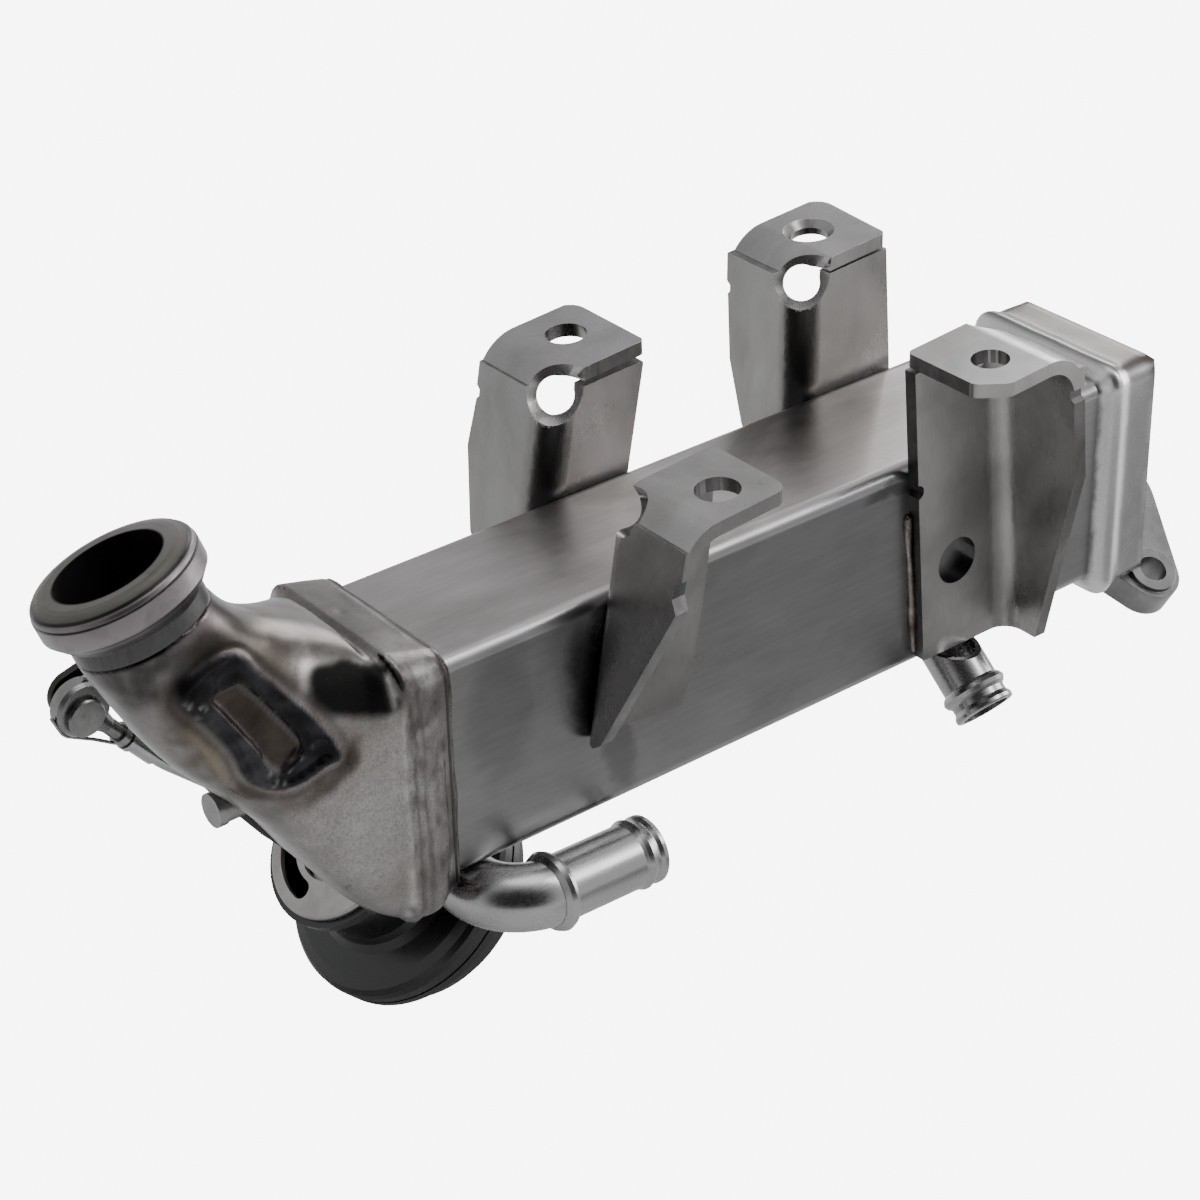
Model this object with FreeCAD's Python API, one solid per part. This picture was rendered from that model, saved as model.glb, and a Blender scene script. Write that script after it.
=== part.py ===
import FreeCAD, Part
import os
from math import sin, cos, tan, pi, radians, degrees, acos, asin, atan2, sqrt, copysign

os.makedirs("parts", exist_ok=True)
V = FreeCAD.Vector

# ---------------------------------------------------------------- dimensions
# Working axes: X along the cooler, Y away from the front side, Z up, zero at
# the front bottom edge of the shell. Everything is moved at the end so that
# the centre of the gas inlet's sealing face is the origin.
SHELL_X0, SHELL_X1 = -50.8, 189.7     # shell ends, inside the two headers
SHELL_W, SHELL_H = 50.0, 65.0         # outer section, Y and Z
SHELL_R, SHELL_T = 4.0, 1.5           # corner radius and sheet thickness

INLET_C = (-119.8, 27.5, 107.7)       # centre of the inlet's sealing face
INLET_N = (-0.29, 0.215, 0.93)        # its outward normal
INLET_BORE, INLET_BAND = 14.2, 21.6   # bore radius and band radius
NECK_R, NECK_LEN = 17.5, 17.0         # neck radius, seam below the face
HOUSING_T = 2.5                       # cast wall

SHAFT = (-95.0, 53.0)                 # flap shaft axis, X and Z, along Y
SHAFT_R, BUSH_R = 4.0, 5.5            # shaft radius, bush outer radius
FLAP_LONG, FLAP_SHORT = 14.3, 214.5   # rest angles of the two wings, degrees
FLAP_TURN = 45.0                      # full turn of the flap, degrees
BALL = (-113.2, 64.6, 48.5)           # centre of the ball joint
LEVER_Y0, LEVER_Y1 = 69.0, 71.5       # lever plate

ACT_C = (-45.3, 60.0, -20.2)          # centre of the actuator's end plate
ACT_N = (-0.70710678, 0.0, 0.70710678)  # its axis, towards the ball joint
ACT_PLATE_R, ACT_HOLE_R = 22.9, 11.9
ACT_RIM_R = 37.0
STROKE = 15.0

PIPE_R, PIPE_T = 9.0, 1.2             # coolant pipe outer radius, wall
SHEET = 4.0                           # bracket sheet
FLANGE_TILT = 4.2                     # tilt of the bracket tops, degrees

TUBE_R, TUBE_T = 3.8, 0.6             # gas tubes
BYPASS_R = 8.5

OUT_EAR = (211.0, 0.0, -6.5)          # front bolt hole of the outlet flange
OUT_PITCH = 62.0                      # bolt spacing
OUT_N = (0.0, 0.5, -0.8660254)        # the way the gas leaves
OUT_T = 9.5


# ---------------------------------------------------------------- helpers
def v3(p):
    return V(p[0], p[1], p[2])


def unit(p):
    q = v3(p)
    q.normalize()
    return q


def cyl(p, d, r, h):
    return Part.makeCylinder(r, h, v3(p), v3(d))


def rounded_wire(pts, rad, mp):
    """Closed polygon with a radius at each corner, mapped to 3-D by mp."""
    n = len(pts)
    if not isinstance(rad, (list, tuple)):
        rad = [rad] * n
    ends = []
    for i in range(n):
        px, py = pts[i]
        ax, ay = pts[i - 1]
        bx, by = pts[(i + 1) % n]
        r = rad[i]
        if r <= 1e-6:
            ends.append(((px, py), (px, py), None))
            continue
        la = sqrt((ax - px) ** 2 + (ay - py) ** 2)
        lb = sqrt((bx - px) ** 2 + (by - py) ** 2)
        ua = ((ax - px) / la, (ay - py) / la)
        ub = ((bx - px) / lb, (by - py) / lb)
        ang = acos(max(-1.0, min(1.0, ua[0] * ub[0] + ua[1] * ub[1])))
        d = r / tan(ang / 2)
        sx, sy = px + ua[0] * d, py + ua[1] * d
        ex, ey = px + ub[0] * d, py + ub[1] * d
        mx, my = ua[0] + ub[0], ua[1] + ub[1]
        ml = sqrt(mx * mx + my * my)
        k = r / sin(ang / 2)
        cx, cy = px + mx / ml * k, py + my / ml * k
        qx, qy = cx - mx / ml * r, cy - my / ml * r
        ends.append(((sx, sy), (ex, ey), (qx, qy)))
    edges = []
    for i in range(n):
        s, e, m = ends[i]
        if m is not None:
            edges.append(Part.Arc(mp(*s), mp(*m), mp(*e)).toShape())
        s2 = ends[(i + 1) % n][0]
        a, b = mp(*e), mp(*s2)
        if (a - b).Length > 1e-5:
            edges.append(Part.LineSegment(a, b).toShape())
    return Part.Wire(Part.__sortEdges__(edges))


def slab(pts, rad, mp, direction):
    return Part.Face(rounded_wire(pts, rad, mp)).extrude(v3(direction))


def slab_z(pts, rad, z0, z1):
    return slab(pts, rad, lambda a, b: V(a, b, z0), (0, 0, z1 - z0))


def slab_y(pts, rad, y0, y1):
    return slab(pts, rad, lambda a, b: V(a, y0, b), (0, y1 - y0, 0))


def slab_x(pts, rad, x0, x1):
    return slab(pts, rad, lambda a, b: V(x0, a, b), (x1 - x0, 0, 0))


def box_yz(x0, x1, y0, y1, z0, z1, r):
    return slab_x([(y0, z0), (y1, z0), (y1, z1), (y0, z1)], r, x0, x1)


def frame_of(c, n, ref=(0, 1, 0)):
    """Placement with local Z along n and local Y near ref."""
    z = unit(n)
    y = v3(ref) - z * z.dot(v3(ref))
    if y.Length < 1e-6:
        y = V(0, 0, 1) - z * z.z
    y.normalize()
    x = y.cross(z)
    m = FreeCAD.Matrix(x.x, y.x, z.x, c[0], x.y, y.y, z.y, c[1],
                       x.z, y.z, z.z, c[2], 0, 0, 0, 1)
    return FreeCAD.Placement(m)


def turned(profile, c, n, rad=0.0):
    """Revolve a closed (radius, height) profile about the axis n through c."""
    w = rounded_wire(profile, rad, lambda a, b: V(a, 0, b))
    s = Part.Face(w).revolve(V(0, 0, 0), V(0, 0, 1), 360)
    s.Placement = frame_of(c, n)
    return s


def fuse(*shapes):
    s = shapes[0]
    if len(shapes) > 1:
        s = s.fuse(list(shapes[1:]))
    return s.removeSplitter()


def cut(s, *tools):
    for t in tools:
        s = s.cut(t)
    return s


def keep_big(s):
    """The largest solid of a result, without stray slivers."""
    sol = sorted(s.Solids, key=lambda q: -q.Volume)
    return sol[0]


def soften(s, r, pick):
    """Round the picked edges one after another where the kernel can."""
    edges = [e for e in s.Edges if pick(e)]
    try:
        t = s.makeFillet(r, edges)
        if t.isValid() and t.Volume > 0.5 * s.Volume:
            return t
    except Exception:
        pass
    return s


def pipe(pts, radii, r, extend=0.0):
    """Round bar along straight runs joined by tangent arcs."""
    P = [v3(p) for p in pts]
    if extend:
        d = P[-1] - P[-2]
        d.normalize()
        P[-1] = P[-1] + d * extend
    edges = []
    last = P[0]
    for i in range(1, len(P) - 1):
        a = P[i - 1] - P[i]
        a.normalize()
        b = P[i + 1] - P[i]
        b.normalize()
        ang = acos(max(-1, min(1, a.dot(b))))
        R = radii[i - 1]
        d = R / tan(ang / 2)
        s = P[i] + a * d
        e = P[i] + b * d
        m = a + b
        m.normalize()
        c = P[i] + m * (R / sin(ang / 2))
        edges.append(Part.LineSegment(last, s).toShape())
        edges.append(Part.Arc(s, c - m * R, e).toShape())
        last = e
    edges.append(Part.LineSegment(last, P[-1]).toShape())
    path = Part.Wire(edges)
    ring = Part.Wire(Part.makeCircle(r, P[0], P[1] - P[0]))
    return path.makePipeShell([ring], True, False)


PARTS = {}


def put(name, shape):
    PARTS[name] = shape


C0 = v3(INLET_C)
N0 = unit(INLET_N)


def along(c, n, s):
    q = v3(c) + v3(n) * s
    return (q.x, q.y, q.z)


# ---------------------------------------------------------------- inlet housing
# Sections of the elbow: centre, direction of flow, half width (Y), half
# height, exponent of the rounded outline.
NECK_C = along(C0, N0, -NECK_LEN)
SECTIONS = [
    (NECK_C, (-N0.x, -N0.y, -N0.z), 17.5, 17.5, 2.0),
    ((-108.3, 22.8, 81.0), (0.45, -0.10, -0.88), 17.9, 18.5, 2.1),
    ((-101.4, 22.5, 72.1), (0.60, -0.02, -0.78), 18.8, 20.5, 2.2),
    ((-93.3, 23.0, 64.3), (0.72, 0.02, -0.69), 20.6, 22.7, 2.5),
    ((-84.0, 23.8, 56.3), (0.83, 0.03, -0.55), 23.2, 25.0, 3.0),
    ((-74.5, 24.7, 44.4), (0.95, 0.0, -0.28), 25.8, 30.6, 4.2),
    ((-64.0, 25.0, 32.2), (1.0, 0.0, 0.0), 29.6, 38.8, 6.0),
    ((-50.0, 25.0, 32.5), (1.0, 0.0, 0.0), 27.6, 36.8, 6.0),
]


def section_wire(c, n, a, b, p, inset, count=40):
    z = unit(n)
    u = V(0, 1, 0) - z * z.dot(V(0, 1, 0))
    u.normalize()
    w = z.cross(u)
    a, b = a - inset, b - inset
    pts = []
    for k in range(count):
        t = 2 * pi * (k + 0.5) / count
        ct, st = cos(t), sin(t)
        x = copysign(abs(ct) ** (2.0 / p), ct) * a
        y = copysign(abs(st) ** (2.0 / p), st) * b
        pts.append(v3(c) + u * x + w * y)
    bs = Part.BSplineCurve()
    bs.interpolate(Points=pts, PeriodicFlag=True)
    return Part.Wire(bs.toShape())


def elbow(inset, start=0.0, inner=False):
    ws = []
    for i, (c, n, a, b, p) in enumerate(SECTIONS):
        if i == 0 and start:
            c = along(c, unit(n), -start)
        if inner and i == len(SECTIONS) - 1:
            a, b = 23.3 + HOUSING_T, 31.0 + HOUSING_T
        if inner and i == len(SECTIONS) - 2:
            a, b = 26.4, 35.0
        if inner and i == 0:
            a = b = 16.7
        ws.append(section_wire(c, n, a, b, p, inset))
    return Part.makeLoft(ws, True, False)


outer = elbow(0.0)
inner = elbow(HOUSING_T, start=1.0, inner=True)
RIM_X0, RIM_X1 = -62.0, -46.8
def rim_wire(x, y0, y1, z0, z1, r):
    return rounded_wire([(y0, z0), (y1, z0), (y1, z1), (y0, z1)], r,
                        lambda a, b: V(x, a, b))


rim = Part.makeLoft([rim_wire(RIM_X0, -5.3, 55.3, -7.8, 71.8, 9.0),
                     rim_wire(RIM_X1, -2.6, 52.6, -3.6, 68.2, 6.5)], True, True)

SX, SZ = SHAFT
front_boss = cyl((SX, 5.7, SZ), (0, 1, 0), 7.6, 6.4)
rear_boss = cyl((SX, 38.0, SZ), (0, 1, 0), 8.5, 16.0)
pocket = box_yz(-53.8, -40.0, 0.0, 50.0, 0.0, 65.0, SHELL_R).fuse(
    box_yz(-55.2, -53.0, 2.5, 47.5, 2.5, 62.0, 3.0))
end_trim = Part.makeBox(20, 80, 100, V(RIM_X1, -15, -15))
housing = outer.fuse(rim)
housing = housing.cut(inner)
housing = housing.fuse([rear_boss, front_boss])
housing = cut(housing, pocket, end_trim,
              cyl((SX, 7.0, SZ), (0, 1, 0), BUSH_R, 60.0),
              cyl((-38.2, 15.5, -20.0), (0, 0, 1), PIPE_R + 0.4, 21.0))
PLUG = (25.0, 32.3)                    # blanking plug, Y and Z, along X
housing = housing.cut(cyl((-104.0, PLUG[0], PLUG[1]), (1, 0, 0), 4.2, 20.0))

# window let into the front wall, outline in the X-Z plane
WINDOW = [(-106.9, 84.3), (-103.1, 84.6), (-87.4, 60.8), (-88.0, 55.5),
          (-91.5, 53.6), (-96.2, 57.6), (-107.9, 76.5)]
WINDOW_R = [2.0, 3.0, 3.0, 2.5, 3.0, 4.0, 3.5]
window = slab_y(WINDOW, WINDOW_R, -10.0, 14.0)
zone = elbow(0.9).cut(elbow(HOUSING_T - 0.3, start=1.0, inner=True))
cover = keep_big(zone.common(window))
housing = housing.cut(window.common(Part.makeBox(80, 22, 80, V(-140, -9, 30)))
                      .cut(front_boss))
cover = cover.cut(front_boss)
housing = keep_big(housing)
put("inlet_housing", housing)
put("window_cover", keep_big(cover))
put("blanking_plug", keep_big(fuse(cyl((-101.2, PLUG[0], PLUG[1]), (1, 0, 0), 4.6, 2.6),
                                   cyl((-98.8, PLUG[0], PLUG[1]), (1, 0, 0), 4.2, 9.2))
                              .cut(housing)))

# clamp-band flange with its neck, one turned ring
put("inlet_flange", turned(
    [(INLET_BORE, 0.0), (16.9, 0.0), (18.2, -0.25), (20.2, -1.1), (21.1, -2.0),
     (21.35, -2.8), (20.9, -3.0), (20.9, -3.25), (INLET_BAND, -3.5), (INLET_BAND, -8.2),
     (21.2, -8.7), (18.6, -11.9), (17.8, -12.4), (NECK_R, -13.0), (NECK_R, -NECK_LEN),
     (INLET_BORE, -NECK_LEN)], C0, N0, 0.0))

# ---------------------------------------------------------------- shell and core
shell = box_yz(SHELL_X0, SHELL_X1, 0, SHELL_W, 0, SHELL_H, SHELL_R)
shell = shell.cut(box_yz(SHELL_X0 - 1, SHELL_X1 + 1, SHELL_T, SHELL_W - SHELL_T,
                         SHELL_T, SHELL_H - SHELL_T, SHELL_R - SHELL_T))

COLS = [7.4, 16.2, 25.0, 33.8, 42.6]
ROWS = [27.5, 37.3, 47.1, 56.9]
BYP = (25.0, 12.5)


def core_holes(x0, h, extra):
    tools = [cyl((x0, y, z), (1, 0, 0), TUBE_R + extra, h) for y in COLS for z in ROWS]
    tools.append(cyl((x0, BYP[0], BYP[1]), (1, 0, 0), BYPASS_R + extra, h))
    return tools


def tube_plate(x0):
    p = box_yz(x0, x0 + 3.0, 0.0, SHELL_W, 0.0, SHELL_H, SHELL_R)
    return p.cut(core_holes(x0 - 1, 5, 0.0))


put("inlet_tube_plate", tube_plate(SHELL_X0 - 3.0))
put("outlet_tube_plate", tube_plate(SHELL_X1))
tubes = []
for y in COLS:
    for z in ROWS:
        a = cyl((SHELL_X0 - 4.0, y, z), (1, 0, 0), TUBE_R, SHELL_X1 - SHELL_X0 + 8.0)
        tubes.append(a.cut(cyl((SHELL_X0 - 5.0, y, z), (1, 0, 0), TUBE_R - TUBE_T,
                               SHELL_X1 - SHELL_X0 + 10.0)))
put("gas_tubes", Part.makeCompound(tubes))
a = cyl((SHELL_X0 - 4.0, BYP[0], BYP[1]), (1, 0, 0), BYPASS_R, SHELL_X1 - SHELL_X0 + 8.0)
put("bypass_tube", a.cut(cyl((SHELL_X0 - 5, BYP[0], BYP[1]), (1, 0, 0), BYPASS_R - 1.0,
                             SHELL_X1 - SHELL_X0 + 10.0)))
baffles = []
for i, x in enumerate((5.0, 68.0, 131.0)):
    b = box_yz(x, x + 1.0, SHELL_T, SHELL_W - SHELL_T, SHELL_T, SHELL_H - SHELL_T,
               SHELL_R - SHELL_T)
    b = b.cut(core_holes(x - 1, 3, 0.25))
    if i % 2 == 0:
        b = b.cut(Part.makeBox(4, 60, 8.0, V(x - 1, -5, 61.5)))
    else:
        b = b.cut(Part.makeBox(4, 60, 3.2, V(x - 1, -5, 0.0)))
    baffles.append(keep_big(b))
put("baffle_plates", Part.makeCompound(baffles))

# ---------------------------------------------------------------- bypass flap
# Wings drawn in the X-Z plane about the shaft: the long one straight, the
# short one bent, both on the flat of the shaft.
FL_T = 2.0
d1 = (cos(radians(FLAP_LONG)), sin(radians(FLAP_LONG)))
n1 = (-d1[1], d1[0])


def dn(a, b):
    return (SX + d1[0] * a + n1[0] * b, SZ + d1[1] * a + n1[1] * b)


bend = radians(FLAP_SHORT - 180.0 - FLAP_LONG)
k0 = -5.0
s_dir = (-cos(bend), -sin(bend))
s_nrm = (-sin(bend), cos(bend))
LS = 10.5
short = [dn(k0, 0), dn(k0 + s_dir[0] * LS, s_dir[1] * LS),
         dn(k0 + s_dir[0] * LS + s_nrm[0] * FL_T, s_dir[1] * LS + s_nrm[1] * FL_T),
         dn(k0 + 0.36, FL_T)]
short = [dn(k0 + 0.01, 0.0)] + short[1:3] + [dn(k0 + 0.01, FL_T)]
long_ = [dn(k0, 0), dn(34.0, 0), dn(34.0, FL_T), dn(k0, FL_T)]
clear = elbow(HOUSING_T + 2.0, start=1.0, inner=True)
wing_s = slab_y(short, 0.0, -5, 60).common(clear)
wing_l = slab_y(long_, 0.0, -5, 60)
hub_trim = slab_z([(-150, 12.6), (-40, 12.6), (-40, 36.5), (-150, 36.5)], 4.0, 0, 120)
wing_l.rotate(V(SX, 0, SZ), V(0, -1, 0), FLAP_TURN)
wing_l = wing_l.common(clear)
wing_l.rotate(V(SX, 0, SZ), V(0, -1, 0), -FLAP_TURN)
# the long wing also stays short of the tube plate
reach = cyl((SX, -5, SZ), (0, 1, 0), 29.0, 70)
flap = wing_l.fuse(wing_s).common(reach).common(hub_trim)
flap = keep_big(flap.removeSplitter())
put("flap_plate_raw", flap)

shaft = cyl((SX, 7.4, SZ), (0, 1, 0), SHAFT_R, LEVER_Y1 + 1.5 - 7.4)
flat = slab_y([dn(-6, 0), dn(6, 0), dn(6, 6), dn(-6, 6)], 0.0, 12.4, 37.1)
shaft = shaft.cut(flat)
screws = []
for y in (18.5, 31.0):
    p = dn(0, FL_T)
    q = (n1[0], 0, n1[1])
    head = cyl((p[0], y, p[1]), q, 2.6, 1.8)
    stem = cyl((dn(0, -2.6)[0], y, dn(0, -2.6)[1]), q, 1.5, 2.6 + FL_T)
    screws.append(head.fuse(stem).removeSplitter())
for s in screws:
    shaft = shaft.cut(s)
    flap = flap.cut(s)
del PARTS["flap_plate_raw"]
put("flap_plate", flap)
put("flap_shaft", shaft)
put("flap_screws", Part.makeCompound(screws))
put("front_bush", cyl((SX, 7.0, SZ), (0, 1, 0), BUSH_R, 5.0)
    .cut(cyl((SX, 6.0, SZ), (0, 1, 0), SHAFT_R + 0.05, 9)))
put("rear_bush", cyl((SX, 38.0, SZ), (0, 1, 0), BUSH_R, 22.0)
    .fuse(cyl((SX, 54.0, SZ), (0, 1, 0), 7.0, 6.0))
    .cut(cyl((SX, 30.0, SZ), (0, 1, 0), SHAFT_R + 0.05, 40)).removeSplitter())

# plate between the cooled side and the bypass
e0 = (SX + 5.9 * cos(radians(-37)), SZ + 5.9 * sin(radians(-37)))
e1 = (-53.8, 22.0)
dl = sqrt((e1[0] - e0[0]) ** 2 + (e1[1] - e0[1]) ** 2)
nn = (-(e1[1] - e0[1]) / dl * 1.5, (e1[0] - e0[0]) / dl * 1.5)
div = slab_y([e0, e1, (e1[0], e1[1] + 1.9), (e0[0] + nn[0], e0[1] + nn[1])], 0.0, -5, 60)
div = div.common(elbow(HOUSING_T + 0.02, start=1.0, inner=True))
div = div.cut(front_boss).cut(rear_boss).cut(
    cyl((SX, 0, SZ), (0, 1, 0), 5.8, 60)).cut(PARTS["gas_tubes"])
put("divider_plate", keep_big(div))

# ---------------------------------------------------------------- lever and ball
BX, BY, BZ = BALL
ang = atan2(BZ - SZ, BX - SX)
ux, uz = cos(ang), sin(ang)
px_, pz_ = -uz, ux
EX, EZ = BX + 1.0, BZ + 0.8               # centre of the lever's round end
ang = atan2(EZ - SZ, EX - SX)
ux, uz = cos(ang), sin(ang)
px_, pz_ = -uz, ux
LEN = sqrt((EX - SX) ** 2 + (EZ - SZ) ** 2)
r1, r2 = 7.5, 6.6
ga = asin((r1 - r2) / LEN)


def tang(c, r, sgn):
    return (c[0] + r * (ux * sin(ga) + sgn * px_ * cos(ga)),
            c[1] + r * (uz * sin(ga) + sgn * pz_ * cos(ga)))


blade = slab_y([tang((SX, SZ), r1, 1), tang((EX, EZ), r2, 1), tang((EX, EZ), r2, -1),
                tang((SX, SZ), r1, -1)], 0.0, LEVER_Y0, LEVER_Y1)
lever = fuse(blade, cyl((SX, LEVER_Y0, SZ), (0, 1, 0), r1, LEVER_Y1 - LEVER_Y0),
             cyl((EX, LEVER_Y0, EZ), (0, 1, 0), r2, LEVER_Y1 - LEVER_Y0))
lever = lever.cut(cyl((SX, 60, SZ), (0, 1, 0), SHAFT_R, 20)).cut(
    cyl((BX, 60, BZ), (0, 1, 0), 2.2, 20))
put("lever_arm", lever)
BALL_R = 3.6
stud = fuse(cyl((BX, BY + 1.0, BZ), (0, 1, 0), 2.2, LEVER_Y1 + 0.9 - BY - 1.0),
            cyl((BX, LEVER_Y0 - 1.3, BZ), (0, 1, 0), 4.2, 1.3),
            cyl((BX, LEVER_Y1, BZ), (0, 1, 0), 3.4, 1.3),
            Part.makeSphere(BALL_R, V(BX, BY, BZ)))
put("ball_stud", stud)

# socket: a turned cup with a raised face set a little low on it, open towards the lever
sock = turned([(0, -2.9), (6.9, -2.9), (7.6, -1.8), (7.6, 1.8), (6.8, 2.6), (0, 2.6)],
              (BX, BY, BZ), (0, 1, 0), 0.0)
sock = sock.fuse(turned([(0, -4.6), (4.8, -4.6), (5.2, -4.2), (5.2, -2.0), (0, -2.0)],
                        (BX - 0.5, BY, BZ - 1.3), (0, 1, 0)))
ROD_D = unit((0.636, 0, -0.771))        # the way the rod leaves the socket
SL_D = (ROD_D.x, ROD_D.y, ROD_D.z)
sock = sock.fuse([cyl(along(BALL, ROD_D, 5.0), SL_D, 2.3, 13.2),
                  Part.makeCone(3.6, 2.3, 5.0, v3(along(BALL, ROD_D, 5.5)), ROD_D)])
sock = sock.cut(Part.makeSphere(BALL_R + 0.06, V(BX, BY, BZ))).cut(
    Part.makeCone(2.9, 4.8, 3.0, V(BX, BY, BZ), V(0, 1, 0)))
sock = keep_big(sock.removeSplitter())
put("ball_socket", sock)

# sleeve on the rod, and the rod itself, bent gently behind the housing
P_top = along(BALL, ROD_D, 18.2)
P_mid = along(BALL, ROD_D, 33.0)
E_end = along(ACT_C, ACT_N, -13.6)
ROD_R = 2.0
sleeve = fuse(cyl(along(BALL, ROD_D, 18.2), SL_D, 3.3, 1.8),
              cyl(along(BALL, ROD_D, 20.0), SL_D, 2.7, 9.0))
sleeve = sleeve.cut(cyl(along(BALL, ROD_D, 10.0), SL_D, ROD_R, 30))
put("rod_sleeve", sleeve)
# lower end: straight on the actuator's axis, through the piston crown
ax_in = along(ACT_C, ACT_N, 18.0)
rod = pipe([P_top, P_mid, ax_in, E_end], [30.0, 60.0], ROD_R)
CROWN = 8.0                              # piston crown below the end plate
CR_T = 1.6
rod = rod.fuse([cyl(along(ACT_C, ACT_N, -(CROWN - 0.6)), ACT_N, 6.2, 1.6),
                cyl(along(ACT_C, ACT_N, -(CROWN + CR_T + 0.6 + 2.4)), ACT_N, 6.2, 2.4)])
rod = rod.removeSplitter()
put("actuator_rod", rod)
# wire clip that forks round the socket's cup and closes on the shank
q = unit((0.771, 0, 0.636))
w1 = []
for sgn in (1, -1):
    a0 = v3(BALL) + ROD_D * 16.2 + q * (2.75 * sgn) + V(0, -0.4, 0)
    a1 = v3(BALL) + ROD_D * 9.4 + q * (4.9 * sgn) + V(0, -0.6, 0)
    a2 = v3(BALL) + ROD_D * 1.0 + q * (8.35 * sgn) + V(0, -0.6, 0)
    a3 = v3(BALL) + ROD_D * (-5.6) + q * (6.4 * sgn) + V(0, -0.6, 0)
    w1.append([(a.x, a.y, a.z) for a in (a0, a1, a2, a3)])
clips = [pipe(w1[0], [5.0, 5.0], 0.5), pipe(w1[1], [5.0, 5.0], 0.5)]
band = cyl(along(BALL, ROD_D, 15.2), SL_D, 3.1, 2.2).cut(
    cyl(along(BALL, ROD_D, 13.0), SL_D, 2.3, 6.0))
clip = clips[0].fuse([clips[1], band]).removeSplitter()
clip = keep_big(clip.cut(sock))
put("socket_clip", clip)

# ---------------------------------------------------------------- actuator
# Profiles as (radius, height); height runs along the axis, zero at the end
# plate's face, negative into the can.
slots = []
pl = turned([(ACT_HOLE_R, -2.0), (ACT_HOLE_R, 0.0), (ACT_PLATE_R - 0.6, 0.0),
             (ACT_PLATE_R, -0.6), (ACT_PLATE_R, -2.0)], (0, 0, 0), (0, 0, 1))
# local frame: X is the e direction, Y is the row's Y
for k in range(3):
    mid = radians(270 + 120 * k)
    half = radians(37)
    ri, ro = 13.9, 19.2
    rm = (ri + ro) / 2
    rr = (ro - ri) / 2
    ha = half - rr / rm
    body = Part.makeCylinder(ro, 6, V(0, 0, -4), V(0, 0, 1)).cut(
        Part.makeCylinder(ri, 8, V(0, 0, -5), V(0, 0, 1)))
    wedge = slab_z([(0, 0), (40 * cos(mid - ha), 40 * sin(mid - ha)),
                    (60 * cos(mid), 60 * sin(mid)),
                    (40 * cos(mid + ha), 40 * sin(mid + ha))], 0.0, -4, 2)
    body = body.common(wedge)
    for sg in (-1, 1):
        body = body.fuse(Part.makeCylinder(
            rr, 6, V(rm * cos(mid + sg * ha), rm * sin(mid + sg * ha), -4), V(0, 0, 1)))
    slots.append(body)
pl = pl.cut(slots)
STUDS = [(16.5 * cos(radians(t)), 16.5 * sin(radians(t))) for t in (90.0, 330.0)]
studs, nuts = [], []
for (a, b) in STUDS:
    pl = pl.cut(Part.makeCylinder(2.6, 6, V(a, b, -4), V(0, 0, 1)))
    st = Part.makeCylinder(2.6, 11.6, V(a, b, -2.0), V(0, 0, 1)).fuse(
        Part.makeCylinder(2.9, 1.0, V(a, b, -3.0), V(0, 0, 1))).removeSplitter()
    studs.append(st)
    hx = [(a + 5.0 / cos(pi / 6) * cos(pi / 3 * i), b + 5.0 / cos(pi / 6) * sin(pi / 3 * i))
          for i in range(6)]
    nuts.append(slab_z(hx, 0.0, 2.5, 7.5).cut(
        Part.makeCylinder(2.6, 10, V(a, b, 0), V(0, 0, 1))))
PL = frame_of(ACT_C, ACT_N)


def placed(s):
    s = s.copy()
    s.Placement = PL.multiply(s.Placement)
    return s


put("actuator_end_plate", placed(pl))
put("actuator_studs", placed(Part.makeCompound(studs)))
put("actuator_nuts", placed(Part.makeCompound(nuts)))

put("actuator_housing", turned(
    [(20.6, -2.0), (24.7, -2.0), (24.7, -4.9), (22.5, -6.0), (22.5, -19.5), (23.4, -22.0),
     (25.6, -23.6), (32.4, -24.4), (35.4, -25.2), (36.6, -26.6), (37.0, -28.6),
     (37.0, -31.4), (32.6, -31.4), (32.6, -30.2), (35.6, -30.2), (35.6, -28.6), (34.6, -26.8),
     (32.2, -25.8), (25.2, -25.0), (22.6, -23.4), (21.3, -20.6), (21.3, -3.4),
     (20.6, -3.4)], ACT_C, ACT_N))
put("actuator_cover", turned(
    [(32.6, -32.2), (37.0, -32.2), (37.0, -34.6), (35.6, -35.8), (34.0, -36.4),
     (33.4, -38.0), (33.0, -42.0), (31.0, -44.6), (27.5, -45.2), (2.0, -45.2),
     (2.0, -43.8), (26.8, -43.8), (30.4, -43.0), (31.6, -41.0), (32.0, -36.4),
     (32.6, -35.0)], ACT_C, ACT_N))
put("diaphragm", turned(
    [(36.6, -31.4), (36.6, -32.2), (32.0, -32.2), (29.6, -31.0), (27.6, -28.9), (24.0, -28.3),
     (24.0, -27.6), (28.0, -28.1), (30.3, -30.4), (32.2, -31.4)], ACT_C, ACT_N))
put("piston_cup", turned(
    [(4.5, -CROWN), (14.6, -CROWN), (16.0, -CROWN - 1.4), (16.6, -24.6), (18.0, -26.0),
     (25.8, -26.0), (25.8, -27.5), (17.2, -27.5), (15.2, -25.6), (14.6, -CROWN - 2.4),
     (13.8, -CROWN - CR_T), (4.5, -CROWN - CR_T)], ACT_C, ACT_N))

# return spring between the crown and the cover's floor
SP_R, SP_W, SP_N = 11.6, 0.9, 6.0
z_lo, z_hi = -43.8 + SP_W, -CROWN - CR_T - SP_W
hel = Part.makeHelix((z_hi - z_lo) / SP_N, z_hi - z_lo, SP_R)
prof = Part.Wire(Part.makeCircle(SP_W, V(SP_R, 0, 0), V(0, 1, 0)))
spr = Part.Wire(hel.Edges).makePipeShell([prof], True, True)
spr.translate(V(0, 0, z_lo))
put("return_spring", placed(spr))

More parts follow.
